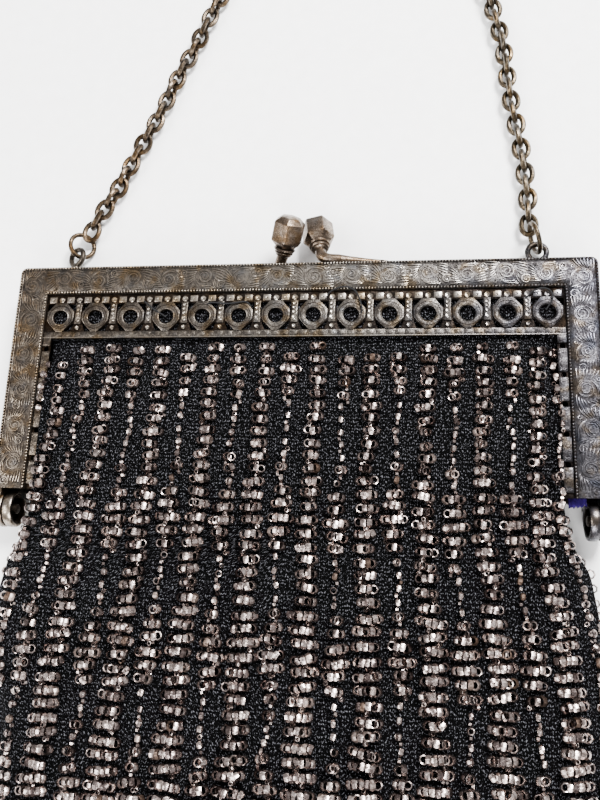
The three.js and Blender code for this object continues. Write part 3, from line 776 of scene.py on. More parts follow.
@dataclass
class FrameHalf:
    """One half of the frame: an L-shaped band with grained edges, struck scrolls and a pierced gallery."""

    half: Half
    sheet: float = 1.1
    seam: float = 5.15
    corner: float = 1.2
    grain_radius: float = 0.27
    grain_pitch: float = 0.68
    grain_inset: float = 0.32
    grain_level: float = 9.7
    ring_count: int = 14
    ring_pitch: float = 8.34
    ring_y: float = -8.995
    ring_hole: float = 1.69
    plate_low: float = 8.65
    plate_high: float = 9.12
    raised: float = 9.45
    bar_top: float = -3.95
    bar_foot: float = -5.6
    strip_width: float = 2.0
    strip_pitch: float = 6.3
    strokes: Strokes = field(default_factory=Strokes)

    # The third coat is tarnish in the recesses and also painted shade inside the hinge barrels and between the
    # blocks of the side strips
    GROUND, RELIEF, TARNISH = 0, 1, 2

    def edge_path(self, inset: float, radius: float) -> np.ndarray:
        """Follows the band at one distance from its outer edge, from one leg's end round to the other's.

        Args:
            inset: How far inside the outer edge the line runs.
            radius: The radius at the two corners.

        Returns:
            The places along the line, closer together at the corners.
        """
        outer = FRAME_WIDTH / 2 - inset
        top = TOP_EDGE - inset
        leg = np.linspace(LEG_BOTTOM, top - radius, 40, endpoint=False)
        turn = np.linspace(0, math.pi / 2, 6)
        corner = np.column_stack([outer - radius + radius * np.cos(turn), top - radius + radius * np.sin(turn)])
        right = np.vstack([np.column_stack([np.full(40, outer), leg]), corner])
        across = np.column_stack([np.linspace(outer - radius, 0, 56)[1:], np.full(55, top)])
        quarter = np.vstack([right, across])
        return np.vstack([quarter[:-1], quarter[::-1] * (-1, 1)])

    def channel(self, draft: Draft) -> None:
        """Presses the band itself, with a rolled edge at each side and a few shallow dents.

        Args:
            draft: The frame half.
        """
        wide = TOP_BAND + 0.2
        profile = np.array([
            (0.0, self.seam), (0.0, 9.35), (0.1, 9.56), (0.3, 9.66), (0.52, 9.6), (0.68, 9.48), (0.85, 9.52),
            (1.2, 9.64), (2.2, 9.68), (3.4, 9.7), (4.7, 9.68), (wide - 1.2, 9.64), (wide - 0.85, 9.52),
            (wide - 0.68, 9.48), (wide - 0.52, 9.6), (wide - 0.3, 9.66), (wide - 0.08, 9.52), (wide, 9.3),
            (wide, 8.9), (self.sheet, 8.9), (self.sheet, self.seam),
        ])
        outer = self.edge_path(0.0, self.corner)
        inner_x = np.clip(outer[:, 0], -LEG_INNER, LEG_INNER)
        on_leg = np.abs(outer[:, 0]) >= LEG_INNER - 0.01
        inner_x = np.where(on_leg, np.sign(outer[:, 0]) * LEG_INNER, inner_x)
        inner = np.column_stack([inner_x, np.minimum(outer[:, 1], BAND_INNER)])
        share = profile[:, 0] / wide
        flat = outer[:, None] + share[None, :, None] * (inner - outer)[:, None]
        along = np.cumsum(np.linalg.norm(np.diff(outer, axis=0, prepend=outer[:1]), axis=1))
        dents = 0.035 * np.sin(along * 0.23) * np.sin(along * 0.71 + 1.3) - 0.02
        height = np.broadcast_to(profile[:, 1], flat.shape[:2]).copy()
        height += np.where(height > 9.2, dents[:, None], 0)
        draft.skin(np.dstack([flat, height]), coat=self.GROUND)

    def grains(self, draft: Draft, path: np.ndarray, height: float) -> None:
        """Sets a row of small round grains along a line.

        Args:
            draft: The frame half.
            path: The line, seen from the front.
            height: The height of the grains' middles.
        """
        along = np.concatenate([[0], np.cumsum(np.linalg.norm(np.diff(path, axis=0), axis=1))])
        spots = np.arange(self.grain_pitch / 2, along[-1], self.grain_pitch)
        groove = np.column_stack([path, np.full(len(path), height - 0.05)])
        draft.skin(sweep(groove, np.array([(-0.28, -0.1), (-0.26, 0.06), (0.26, 0.06), (0.28, -0.1)])),
                   coat=self.TARNISH)
        r = self.grain_radius
        dome = [(r * 0.7, -r * 0.7), (r, 0.0), (r * 0.72, r * 0.68), (r * 0.2, r)]
        ball = turned(dome, (0, 0, 0), UP, 7)
        for x, y in zip(np.interp(spots, along, path[:, 0]), np.interp(spots, along, path[:, 1])):
            draft.skin(ball + (x, y, height), coat=self.RELIEF)

    def inner_path(self) -> np.ndarray:
        """Gives the line along the band's inner edge, just outside the gallery."""
        x = LEG_INNER + self.grain_inset
        y = BAND_INNER + self.grain_inset
        return np.array([(-x, LEG_BOTTOM), (-x, y), (x, y), (x, LEG_BOTTOM)])

    def ring_places(self) -> list[float]:
        """Gives the place across the frame of each ring's middle."""
        return [(at - (self.ring_count - 1) / 2) * self.ring_pitch for at in range(self.ring_count)]

    def gallery_plate(self, draft: Draft) -> None:
        """Pierces the gallery's plate: an eye to each ring, triangles by the posts and gaps at their feet.

        Args:
            draft: The frame half.
        """
        y = self.ring_y
        outlines = [rectangle(-LEG_INNER - 0.3, GALLERY_BOTTOM, LEG_INNER + 0.3, BAND_INNER + 0.3)]
        for at, x in enumerate(self.ring_places()):
            outlines.append(circle(self.ring_hole, 24, (x, y)))
            for hand in (-1, 1):
                near, far = x + hand * 1.5, x + hand * 3.37
                outlines.append([(near, y + 3.25), (far, y + 3.25), (far, y + 1.35)])
            if at < self.ring_count - 1:
                post = x + self.ring_pitch / 2
                outlines.append([(post - 3.2, y - 3.25), (post + 3.2, y - 3.25), (post + 1.3, y - 1.4),
                                 (post - 1.3, y - 1.4)])
        draft.add(*plate(outlines, self.plate_low, self.plate_high, 0.08), coat=self.TARNISH)

    def rings(self, draft: Draft) -> None:
        """Raises a collar round each eye, with its points at the two bars, and the posts between.

        Args:
            draft: The frame half.
        """
        y = self.ring_y
        collar = [(1.35, 3.5), (3.15, 1.3), (3.15, -0.75), (2.75, -1.3), (0.75, -3.5)]
        outline = collar + [(-x, z) for x, z in reversed(collar)]
        hole = circle(self.ring_hole + 0.08, 24)
        corners, faces = plate([outline, hole], self.plate_low + 0.2, self.raised, 0.13)
        lip = turned([(1.72, -0.1), (1.95, -0.1), (2.02, 0.06), (1.88, 0.13), (1.74, 0.06)], (0, 0, 0), UP, 28)
        bead = turned([(2.62, -0.1), (2.82, -0.1), (2.8, 0.06), (2.66, 0.06)], (0, 0, 0), UP, 28)
        for at, x in enumerate(self.ring_places()):
            draft.add(corners + (x, y, 0), faces, coat=self.GROUND)
            draft.skin(lip + (x, y, self.raised - 0.04), closed=True, coat=self.GROUND)
            draft.skin(bead + (x, y, self.raised - 0.04), closed=True, coat=self.TARNISH)
            if at < self.ring_count - 1:
                self.post(draft, x + self.ring_pitch / 2)

    def post(self, draft: Draft, x: float) -> None:
        """Stacks one post: a foot in the gap, a shaft and round bosses.

        Args:
            draft: The frame half.
            x: Its place across the frame.
        """
        y = self.ring_y
        foot = [(x - 1.75, y - 3.4), (x + 1.75, y - 3.4), (x + 0.95, y - 1.2), (x - 0.95, y - 1.2)]
        shaft = [(x - 0.78, y - 1.6), (x + 0.78, y - 1.6), (x + 0.62, y + 1.2), (x + 0.78, y + 3.5),
                 (x - 0.78, y + 3.5), (x - 0.62, y + 1.2)]
        draft.add(*plate([foot], self.plate_low, self.plate_high - 0.12, 0.06), coat=self.TARNISH)
        draft.add(*plate([shaft], self.plate_low, self.raised - 0.15, 0.1), coat=self.GROUND)
        for rise, size in ((-2.5, 0.5), (-0.4, 0.62), (0.75, 0.5), (1.75, 0.42), (2.7, 0.46)):
            self.boss(draft, x, y + rise, size)

    def boss(self, draft: Draft, x: float, y: float, size: float) -> None:
        """Raises one small round boss with a dimple.

        Args:
            draft: The frame half.
            x: Its place across the frame.
            y: Its place up the frame.
            size: Its radius.
        """
        top = self.raised - 0.08
        profile = [(size, -0.35), (size, -0.02), (size * 0.75, 0.12), (size * 0.4, 0.1), (size * 0.15, 0.02)]
        draft.skin(turned(profile, (x, y, top), UP, 10), coat=self.RELIEF)

    def bars(self, draft: Draft) -> None:
        """Lays the two bars of the gallery, with squares and dots above and small blocks below.

        Args:
            draft: The frame half.
        """
        bar = self.raised - 0.2
        reach = LEG_INNER - 0.15
        top_bar = rectangle(-reach, self.bar_foot, reach, self.bar_top)
        foot_bar = rectangle(-reach, GALLERY_BOTTOM + 0.05, reach, GALLERY_BOTTOM + 1.7)
        draft.add(*plate([top_bar], self.plate_low, bar - 0.08, 0.08), coat=self.TARNISH)
        draft.add(*plate([foot_bar], self.plate_low, bar - 0.05, 0.08), coat=self.GROUND)
        middle = (self.bar_top + self.bar_foot) / 2
        step = self.ring_pitch / 4
        square = plate([rectangle(-0.86, -0.72, 0.86, 0.72)], bar - 0.2, bar + 0.14, 0.12)
        block = plate([rectangle(-0.8, -0.5, 0.8, 0.5)], bar - 0.2, bar + 0.06, 0.08)
        for at in range(-27, 28):
            x = at * step
            if abs(x) > reach - 0.8:
                continue
            if at % 2:
                draft.add(square[0] + (x, middle, 0), square[1], coat=self.RELIEF)
                self.boss(draft, x, middle, 0.3)
            else:
                self.boss(draft, x, middle, 0.66)
            draft.add(block[0] + (x, GALLERY_BOTTOM + 0.98, 0), block[1], coat=self.GROUND)
        wire = np.array([(x, GALLERY_BOTTOM + 0.2, bar) for x in np.linspace(-reach, reach, 60)])
        draft.skin(sweep(wire, circle(0.17, 6)), coat=self.RELIEF)

    def strips(self, draft: Draft) -> None:
        """Hangs the two side strips, with a round hole between their engraved blocks.

        Args:
            draft: The frame half.
        """
        inner = LEG_INNER - self.strip_width
        holes = np.arange(GALLERY_BOTTOM - 2.4, LEG_BOTTOM + 1.5, -self.strip_pitch)
        for hand in (-1, 1):
            low, high = sorted((hand * inner, hand * (LEG_INNER + 0.3)))
            base = rectangle(low, LEG_BOTTOM, high, GALLERY_BOTTOM + 0.3)
            eyes = [circle(0.58, 14, (hand * (LEG_INNER - 0.95), y)) for y in holes]
            # Painted shadow: the base between the blocks wears the dark coat, so that the gaps read as shadowed
            draft.add(*plate([base, *eyes], self.plate_low, self.plate_low + 0.3, 0.05), coat=self.TARNISH)
            low, high = sorted((hand * inner, hand * (LEG_INNER - 0.12)))
            for y in holes:
                top = min(y - 0.62, GALLERY_BOTTOM)
                foot = max(y - self.strip_pitch + 0.62, LEG_BOTTOM + 0.1)
                block = rectangle(low, foot, high, top)
                draft.add(*plate([block], self.plate_low + 0.1, self.raised - 0.1, 0.12), coat=self.GROUND)
                self.block_lines(draft, (low + high) / 2, foot, top)
            first = rectangle(low, holes[0] + 0.62, high, GALLERY_BOTTOM + 0.2)
            draft.add(*plate([first], self.plate_low + 0.1, self.raised - 0.1, 0.12), coat=self.GROUND)

    def block_lines(self, draft: Draft, x: float, foot: float, top: float) -> None:
        """Raises the crossed lines and the end bars of one block.

        Args:
            draft: The frame half.
            x: The block's middle.
            foot: Its lower end.
            top: Its upper end.
        """
        level = self.raised - 0.14
        span = top - foot
        section = np.array([(-0.13, -0.06), (-0.06, 0.1), (0.06, 0.1), (0.13, -0.06)])
        for share in (0.12, 0.5, 0.88):
            for lean in (-1, 1):
                y = foot + share * span
                points = [(x - 0.6, y - 0.4 * lean, level), (x, y + 0.5 * lean, level), (x + 0.6, y, level)]
                draft.skin(sweep(bend(points, 6), section), coat=self.RELIEF, smooth=False)

    def knuckles(self, draft: Draft) -> None:
        """Rolls the two hinge knuckles and the leaves that join them to the legs.

        Args:
            draft: The frame half.
        """
        near, far = (63.0, 65.0) if self.half is Half.FRONT else (60.7, 62.7)
        tube = [(3.5, -1), (3.85, -0.92), (4, -0.65), (4, 0.65), (3.85, 0.92), (3.5, 1), (3.3, 0.9),
                (3.3, -0.9)]
        # Painted shade: a dark lining inside each barrel, where shade falls
        painted_shade_liner = [(3.32, -0.9), (3.32, 0.88), (1.4, 0.85), (1.4, 0.5), (2.9, 0.45), (2.95, -0.86)]
        for hand in (-1, 1):
            middle = (hand * (near + far) / 2, HINGE_Y, FRAME_DEPTH / 2)
            for profile, coat in ((tube, self.RELIEF), (painted_shade_liner, self.TARNISH)):
                draft.skin(turned(profile, middle, (hand, 0, 0), 40), closed=True, coat=coat)
            low, high = sorted((hand * near, hand * far))
            leaf = rectangle(low, HINGE_Y + 2.5, high, LEG_BOTTOM + 1)
            draft.add(*plate([leaf], self.seam, 9.35, 0.12), coat=self.GROUND)

    def build(self, coats: Sequence[bpy.types.Material]) -> bpy.types.Object:
        """Builds and dresses this half.

        Args:
            coats: The ground, the worn relief and the tarnish with painted shade.

        Returns:
            The half, as one piece.
        """
        draft = Draft()
        self.channel(draft)
        for path in (self.edge_path(self.grain_inset, self.corner), self.inner_path()):
            self.grains(draft, path, self.grain_level)
        self.strokes.draw(draft, self.RELIEF)
        self.gallery_plate(draft)
        self.rings(draft)
        self.bars(draft)
        self.strips(draft)
        self.knuckles(draft)
        if self.half is Half.BACK:
            draft = draft.mirrored()
        return draft.piece(f"{self.half.value}_half", coats, "frame_metal", f"{self.half.value}_frame")


@dataclass
class HingePins:
    """The two pins that the halves turn on, headed at their outer ends."""

    radius: float = 1.1
    head_radius: float = 1.8
    start: float = 60.7
    head_at: float = 65.25
    head_height: float = 0.5

    def build(self, coat: bpy.types.Material) -> list[bpy.types.Object]:
        """Builds both pins.

        Args:
            coat: Their material.

        Returns:
            The two pins.
        """
        made = []
        for side, hand in (("left", -1), ("right", 1)):
            draft = Draft()
            length = self.head_at - self.start
            top = length + self.head_height
            profile = [(0.3, -0.05), (0.8, 0.0), (self.radius, 0.25), (self.radius, length),
                       (self.head_radius, length), (self.head_radius, length + 0.2), (1.35, top - 0.04),
                       (0.4, top)]
            centre = (hand * self.start, HINGE_Y, FRAME_DEPTH / 2)
            draft.skin(turned(profile, centre, (hand, 0, 0), 24))
            made.append(draft.piece(f"pin_{side}", [coat], "pin_metal", f"hinge_pin_{side}"))
        return made


# The clasp

@dataclass
class Clasp:
    """The kiss-lock: two six-sided knobs, one on a flared stem and one on an arm along the top edge."""

    corner_radius: float = 3.75
    length: float = 7.4
    chamfer: float = 1.5
    edge_round: float = 0.22
    stem_radius: float = 1.25
    tip_radius: float = 0.3
    back_foot: tuple[float, float, float] = (-5.0, 3.6, 2.425)
    back_centre: tuple[float, float, float] = (-2.2, 11.25, 9.025)
    front_bend: tuple[float, float, float] = (5.5, 4.9, 7.575)
    front_centre: tuple[float, float, float] = (4.1, 12.85, 4.675)
    arm_end: tuple[float, float, float] = (20.6, 4.05, 7.575)

    def knob(self, draft: Draft, centre: Sequence[float], foot: Sequence[float], spin: float) -> np.ndarray:
        """Files one knob: a barrel of six faces with chamfered ends, and the rings of its collar.

        Args:
            draft: The piece.
            centre: The knob's middle.
            foot: The place that its stem comes from.
            spin: How far the faces are turned about the knob's own line.

        Returns:
            The place where the stem enters the collar.
        """
        line = np.asarray(centre, float) - np.asarray(foot, float)
        line /= np.linalg.norm(line)
        half = self.length / 2
        nose = self.corner_radius - self.chamfer
        profile = [(nose * 0.95, -half), (self.corner_radius, -half + self.chamfer),
                   (self.corner_radius, half - self.chamfer), (nose, half - 0.25), (nose * 0.45, half)]
        shape = Draft()
        shape.skin(turned(profile, (0, 0, 0), UP, 6))
        work = bmesh.new()
        corners = [work.verts.new(corner) for corner in shape.corners[0]]
        for run, _, _ in shape.faces:
            for face in run:
                work.faces.new([corners[index] for index in face])
        bmesh.ops.bevel(work, geom=list(work.edges), offset=self.edge_round, segments=2, profile=0.6,
                        affect="EDGES", clamp_overlap=True)
        places, faces = faces_of(work)
        work.free()
        about = Vector(UP).rotation_difference(Vector(line)).to_matrix() @ Matrix.Rotation(spin, 3, "Z")
        draft.add(places @ np.array(about).T + np.asarray(centre), faces, coat=0)
        collar = [(1.0, -half - 2.1), (1.5, -half - 2.05), (1.75, -half - 1.85), (1.55, -half - 1.6),
                  (1.95, -half - 1.5), (2.15, -half - 1.2), (1.95, -half - 0.92), (1.7, -half - 0.8),
                  (2.3, -half - 0.7), (2.5, -half - 0.35), (2.3, -half - 0.05), (1.6, -half + 0.1)]
        draft.skin(turned(collar, centre, line, 36), coat=0)
        return np.asarray(centre) - line * (half + 1.9)

    def back_knob(self, coats: Sequence[bpy.types.Material]) -> bpy.types.Object:
        """Builds the knob of the back half on its flared stem.

        Args:
            coats: The knob metal and the dark metal inside the frame.

        Returns:
            The piece.
        """
        draft = Draft()
        neck = self.knob(draft, self.back_centre, self.back_foot, 0.35)
        foot = np.asarray(self.back_foot)
        path = bend([foot, foot + (0.1, 2.2, 0.9), neck], 14)
        flare = 1 + 0.75 * np.exp(-np.linspace(0, 6, 14))
        draft.skin(sweep(path, circle(self.stem_radius * 1.05, 24), flare), coat=0)
        self.rivet(draft, foot[0], foot[1] + 0.4, foot[2])
        return draft.piece("knob_back", coats, "clasp_metal", "clasp_knob_back")

    def front_knob(self, coats: Sequence[bpy.types.Material]) -> bpy.types.Object:
        """Builds the knob of the front half, whose stem bends into a tapered arm.

        Args:
            coats: The knob metal and the dark metal inside the frame.

        Returns:
            The piece.
        """
        draft = Draft()
        turn = np.asarray(self.front_bend)
        neck = self.knob(draft, self.front_centre, turn, 0.1)
        elbow = bend([turn + (neck - turn) * 0.75, turn + (-0.1, -0.1, 0.1), turn + (3.2, -0.05, 0)], 16)
        share = np.linspace(0, 1, 22)[1:, None]
        arm = elbow[-1] * (1 - share) + np.asarray(self.arm_end) * share
        arm[:, 1] -= 0.18 * np.sin(np.pi * share[:, 0])
        path = np.vstack([neck, elbow, arm])
        widths = np.concatenate([[1.0], np.linspace(1.02, 1.0, 16),
                                 np.linspace(1.0, self.tip_radius / self.stem_radius, 21)])
        widths[-1] *= 0.6
        draft.skin(sweep(path, circle(self.stem_radius, 24), widths), coat=0)
        for x in (9.5, 19.1):
            self.rivet(draft, x, 4.3, turn[2])
        return draft.piece("knob_front", coats, "clasp_metal", "clasp_knob_front")

    def rivet(self, draft: Draft, x: float, top: float, z: float) -> None:
        """Drives one rivet through the top wall, with its head inside.

        Args:
            draft: The piece.
            x: Its place across the frame.
            top: Where its shank starts.
            z: Its height over the back.
        """
        inside = TOP_EDGE - 1.4
        profile = [(0.6, inside - top - 0.5), (0.62, inside - top), (0.6, inside - top + 0.05), (0.6, 0.0)]
        draft.skin(turned(profile, (x, top, z), (0, 1, 0), 12), coat=1)


# Rings and chain

@dataclass
class CarryingRings:
    """The two eyes riveted to the back half and the jump rings that join the chain to them."""

    eye_radius: float = 2.05
    eye_wire: float = 0.65
    jump_wire: float = 0.55
    eyes: tuple[tuple[str, float, float, float, float], ...] = (
        ("left", -55.0, 9.1, 2.425, -0.45), ("right", 53.6, 7.85, 2.425, 0.0))
    jumps: tuple[tuple[str, float, float, float, float, float, float], ...] = (
        ("left", -54.1, 12.2, 2.325, 2.9, 0.65, 0.0), ("right", 53.0, 10.65, 4.025, 3.3, math.pi / 2, 0.28))

    def ring(self, draft: Draft, centre: Sequence[float], radius: float, wire: float, tilt: float, turn: float,
             gap: float) -> None:
        """Bends one wire ring.

        Args:
            draft: The piece.
            centre: Its middle.
            radius: The radius of the wire's middle line.
            wire: The wire's radius.
            tilt: How far it is tilted from lying flat.
            turn: How far it is then turned.
            gap: The part of the ring left open at its cut, in radians.
        """
        angle = np.linspace(gap / 2, 2 * math.pi - gap / 2, 49)
        wander = 1 + 0.012 * np.sin(3 * angle + 1)
        path = np.column_stack([np.cos(angle), np.sin(angle), np.zeros(49)]) * (radius * wander)[:, None]
        rings = sweep(path if gap else path[:-1], circle(wire, 14), closed=not gap)
        spin = Matrix.Rotation(turn, 3, "Z") @ Matrix.Rotation(tilt, 3, "Y")
        draft.skin(rings @ np.array(spin).T + np.asarray(centre), closed=not gap)

    def build(self, eye_coat: bpy.types.Material, ring_coat: bpy.types.Material) -> list[bpy.types.Object]:
        """Builds the eyes and the jump rings.

        Args:
            eye_coat: The material of the eyes.
            ring_coat: The material of the jump rings.

        Returns:
            The four pieces.
        """
        made = []
        for side, x, y, z, tilt in self.eyes:
            draft = Draft()
            self.ring(draft, (x, y, z), self.eye_radius, self.eye_wire, tilt, 0.0, 0.0)
            foot = TOP_EDGE - 1.9
            shank = [(0.6, foot), (0.6, TOP_EDGE + 0.2), (1.15, TOP_EDGE + 0.3), (1.0, TOP_EDGE + 0.7),
                     (0.65, y - self.eye_radius - 0.2), (0.6, y - self.eye_radius + 0.2)]
            draft.skin(turned(shank, (x, 0, z), (0, 1, 0), 18))
            made.append(draft.piece(f"eye_{side}", [eye_coat], "chain_metal", f"chain_eye_{side}"))
        for side, x, y, z, radius, tilt, turn in self.jumps:
            draft = Draft()
            self.ring(draft, (x, y, z), radius, self.jump_wire, tilt, turn, 0.06)
            made.append(draft.piece(f"ring_{side}", [ring_coat], "chain_metal", f"jump_ring_{side}"))
        return made


@dataclass
class Chain:
    """The cable chain: oval links of round wire, every second one turned on edge."""

    wire: float = 0.63
    half_length: float = 2.34
    half_width: float = 1.64
    pitch: float = 3.3
    height: float = 2.0
    link_steps: int = 26
    wire_sides: int = 8
    route: tuple[tuple[float, float], ...] = (
        (-52.2, 16.1), (-50.6, 20.2), (-47.2, 26.2), (-44.3, 33.0), (-41.3, 40.0), (-38.3, 46.7), (-35.6, 53.6),
        (-32.8, 61.0), (-29.7, 67.8), (-27.2, 74.8), (-24.4, 81.5), (-18.6, 95.3), (-13.2, 108.8),
        (-7.8, 122.3), (-2.2, 135.3), (4.5, 146.8), (13.5, 152.8), (22.5, 150.3), (28.5, 140.3),
        (32.0, 127.3), (35.3, 113.8), (38.7, 100.3), (41.8, 88.3), (44.9, 76.4), (46.4, 70.0),
        (47.7, 62.3), (48.4, 54.3), (49.3, 46.3), (50.5, 38.7), (51.4, 31.5), (52.0, 24.2), (52.1, 19.6),
        (52.1, 14.9),
    )

    def link(self) -> np.ndarray:
        """Bends one link, lying flat and pointing along the chain.

        Returns:
            Its rings of corners.
        """
        angle = np.arange(self.link_steps) * 2 * math.pi / self.link_steps
        wide = np.sign(np.sin(angle)) * np.abs(np.sin(angle)) ** 0.85
        path = np.column_stack([np.cos(angle) * self.half_length, wide * self.half_width, np.zeros(len(angle))])
        return sweep(path, circle(self.wire, self.wire_sides), closed=True)

    def build(self, coat: bpy.types.Material) -> bpy.types.Object:
        """Lays the chain along its route.

        Args:
            coat: The wire's material.

        Returns:
            The chain, as one piece.
        """
        chance = random.Random(11)
        draft = Draft()
        places = smooth_route(self.route, self.pitch)
        places = np.column_stack([places, np.full(len(places), self.height)])
        ahead = np.gradient(places, axis=0)
        ahead /= np.linalg.norm(ahead, axis=1, keepdims=True)
        link = self.link()
        for at, (place, line) in enumerate(zip(places, ahead)):
            roll = (math.pi / 2 if at % 2 else 0.0) + 0.2 + chance.uniform(-0.16, 0.16)
            side = np.cross(UP, line)
            across = side * math.cos(roll) + np.asarray(UP) * math.sin(roll)
            out = np.cross(line, across)
            low = self.wire + self.half_width * abs(math.sin(roll))
            rest = np.array([0, 0, max(0.0, low - place[2])])
            draft.skin(link @ np.array([line, across, out]) + place + rest, closed=True, tone=chance.random())
        return draft.piece("chain_links", [coat], "chain_metal", "chain")


# The bag

@dataclass(frozen=True)
class Section:
    """One section across the bag, in shares of the sizes that it follows."""

    at: float
    left: float
    right: float
    swell: float
    sag: float
    level: float
    edge: float
    lip: float


@dataclass
class KnitBag:
    """The hollow knitted bag: open at the mouth inside the frame, full at its middle, closed at its foot."""

    rim: float = -3.95
    leg_top: float = GALLERY_BOTTOM - 0.3
    hinge_foot: float = -56.75
    foot: float = -161.95
    mouth_half: float = 57.35
    body_half: float = 63.5
    mouth_back: float = 1.65
    mouth_front: float = 8.35
    body_front: float = 14.0
    collar_wall: float = 1.2
    body_wall: float = 2.5
    bead_room: float = 1.9
    side_inset: float = 0.6
    cover_height: float = 10.1
    cover_width: float = 3.4
    front_fullness: float = 8.0
    back_fullness: float = 7.0
    around: int = 264
    row_step: float = 1.15
    inner_rows: int = 48
    foot_wall: float = 2.2
    outer_folds: float = 0.35
    inner_folds: float = 0.2
    leg_sections: tuple[Section, ...] = (
        Section(0.10, 1, 1, 0.42, 0.65, 1, 1, 1), Section(0.30, 1, 1, 0.7, 0.8, 1, 1, 0.4),
        Section(0.42, 1, 0.995, 0.78, 0.9, 1, 1, 0.2), Section(0.80, 1, 0.99, 0.82, 1, 1, 1, 0.1),
        Section(1.02, 1.0, 0.985, 0.86, 1, 1, 0.9, 0),
    )
    cover_left: tuple[tuple[float, float], ...] = ((17.0, 0.0), (24.0, 1.0), (49.0, 1.0), (58.0, 0.0))
    cover_right: tuple[tuple[float, float], ...] = ((26.0, 0.0), (36.0, 1.0), (49.0, 1.0), (58.0, 0.0))
    body_sections: tuple[Section, ...] = (
        Section(0.06, 0.967, 0.965, 0.92, 1, 1, 0.66, 0), Section(0.14, 0.992, 0.985, 0.95, 1, 1, 0.62, 0),
        Section(0.28, 0.955, 0.99, 0.98, 1, 1, 0.6, 0), Section(0.41, 0.925, 0.98, 1, 1, 1, 0.6, 0),
        Section(0.57, 0.96, 0.975, 1, 1, 1, 0.6, 0), Section(0.75, 0.985, 0.985, 0.9, 1, 0.96, 0.55, 0),
        Section(0.87, 0.945, 0.94, 0.64, 1, 0.88, 0.5, 0), Section(0.95, 0.82, 0.81, 0.18, 0.97, 0.74, 0.4, 0),
        Section(0.985, 0.7, 0.69, -0.16, 0.9, 0.66, 0.34, 0),
        Section(1, 0.52, 0.51, -0.52, 0.76, 0.56, 0.25, 0),
    )

    def __post_init__(self) -> None:
        """Works out the bag's measures at close steps from its sections, smoothed as knitting is."""
        mouth = Section(0, 1, 1, 0, 0, 1, 1, 1)
        hinge = Section(0, 1.016, 1.005, 0.9, 1, 1, 0.75, 0)
        rows = [(self.rim, self.mouth_half, mouth), (self.leg_top, self.mouth_half, mouth)]
        span = LEG_BOTTOM - self.leg_top
        rows += [(self.leg_top + row.at * span, self.mouth_half, row) for row in self.leg_sections]
        rows.append((self.hinge_foot, self.mouth_half, hinge))
        span = self.foot - self.hinge_foot
        rows += [(self.hinge_foot + row.at * span, self.body_half, row) for row in self.body_sections]
        given = -np.array([y for y, _, _ in rows])
        self.depths = np.arange(-self.rim, -self.foot + 0.25, 0.5)
        window = np.hanning(9)
        window /= window.sum()
        self.table: dict[str, np.ndarray] = {}
        for name in ("left", "right", "swell", "sag", "level", "edge", "lip"):
            width = np.array([half if name in ("left", "right") else 1.0 for _, half, _ in rows])
            values = np.array([getattr(row, name) for _, _, row in rows]) * width
            fine = np.interp(self.depths, given, values)
            padded = np.pad(fine, 4, mode="edge")
            self.table[name] = np.convolve(padded, window, mode="valid")

    def measure(self, name: str, y: float) -> float:
        """Gives one of the bag's measures at a place down it."""
        return float(np.interp(-y, self.depths, self.table[name]))

    def bead_depth(self, y: float) -> float:
        """Gives the room that beads take over the cloth, none behind the gallery."""
        return self.bead_room * float(np.clip((self.leg_top + 1.5 - y) / 9.0, 0, 1)) ** 0.7

    def height(self, x: np.ndarray, y: float, inset: float, front: bool) -> np.ndarray:
        """Gives the cloth's height across one section.

        Args:
            x: Places across the bag.
            y: The place down the bag.
            inset: How far the surface lies inside the bag's outer form.
            front: Whether the front or the back is meant.

        Returns:
            The heights over what the bag lies on.
        """
        middle = FRAME_DEPTH / 2 * self.measure("level", y)
        edge = max(self.measure("edge", y) * (self.mouth_front - FRAME_DEPTH / 2) - inset, 0.35)
        side = np.where(x < 0, self.measure("left", y), self.measure("right", y)) - min(inset, self.side_inset)
        if front:
            full = self.mouth_front + self.measure("swell", y) * (self.body_front - self.mouth_front)
            reach, power = full - middle - inset, self.front_fullness
        else:
            reach, power = middle - self.mouth_back * (1 - self.measure("sag", y)) - inset, self.back_fullness
        lip = self.measure("lip", y) * 2.3
        share = np.minimum(1, np.abs(x) / np.maximum(side - lip, 1))
        stand = edge + (max(reach, edge) - edge) * np.sqrt(np.maximum(0, 1 - share**power))
        if not front:
            return middle - stand
        height = middle + stand
        roll = np.clip((np.abs(x) - (side - self.cover_width)) / (self.cover_width * 0.5), 0, 1)
        over_left = np.interp(-y, *zip(*self.cover_left))
        over_right = np.interp(-y, *zip(*self.cover_right))
        lifted = height + (self.cover_height - height) * roll * np.where(x < 0, over_left, over_right)
        return np.maximum(height, lifted)

    def ring(self, y: float, inset: float, folds: float) -> tuple[np.ndarray, np.ndarray]:
        """Draws the closed outline of one section, from the middle of the front round to it again.

        Args:
            y: The place down the bag.
            inset: How far the surface lies inside the bag's outer form.
            folds: How deep the cloth's soft unevenness is.

        Returns:
            The corners, and how far round the cloth each one is from the middle of the front.
        """
        level = FRAME_DEPTH / 2 * self.measure("level", y)
        left = -self.measure("left", y) + min(inset, self.side_inset)
        right = self.measure("right", y) - min(inset, self.side_inset)
        bulge = 1.0 if y > LEG_BOTTOM else 1.6
        inner_left, inner_right = left + bulge, right - bulge
        front_x = np.linspace(inner_left, inner_right, 240)
        front_z = self.height(front_x, y, inset, True)
        back_x = front_x[::-1]
        back_z = self.height(back_x, y, inset, False)
        turn = np.linspace(0, math.pi, 14)[1:-1]

        def side(edge_x: float, reach: float, top: float, bottom: float, start: float) -> np.ndarray:
            """Rounds one side of the outline over from face to face."""
            angle = start - turn
            middle, half = (top + bottom) / 2, (top - bottom) / 2
            return np.column_stack([edge_x + reach * np.cos(angle), middle + half * np.sin(angle)])

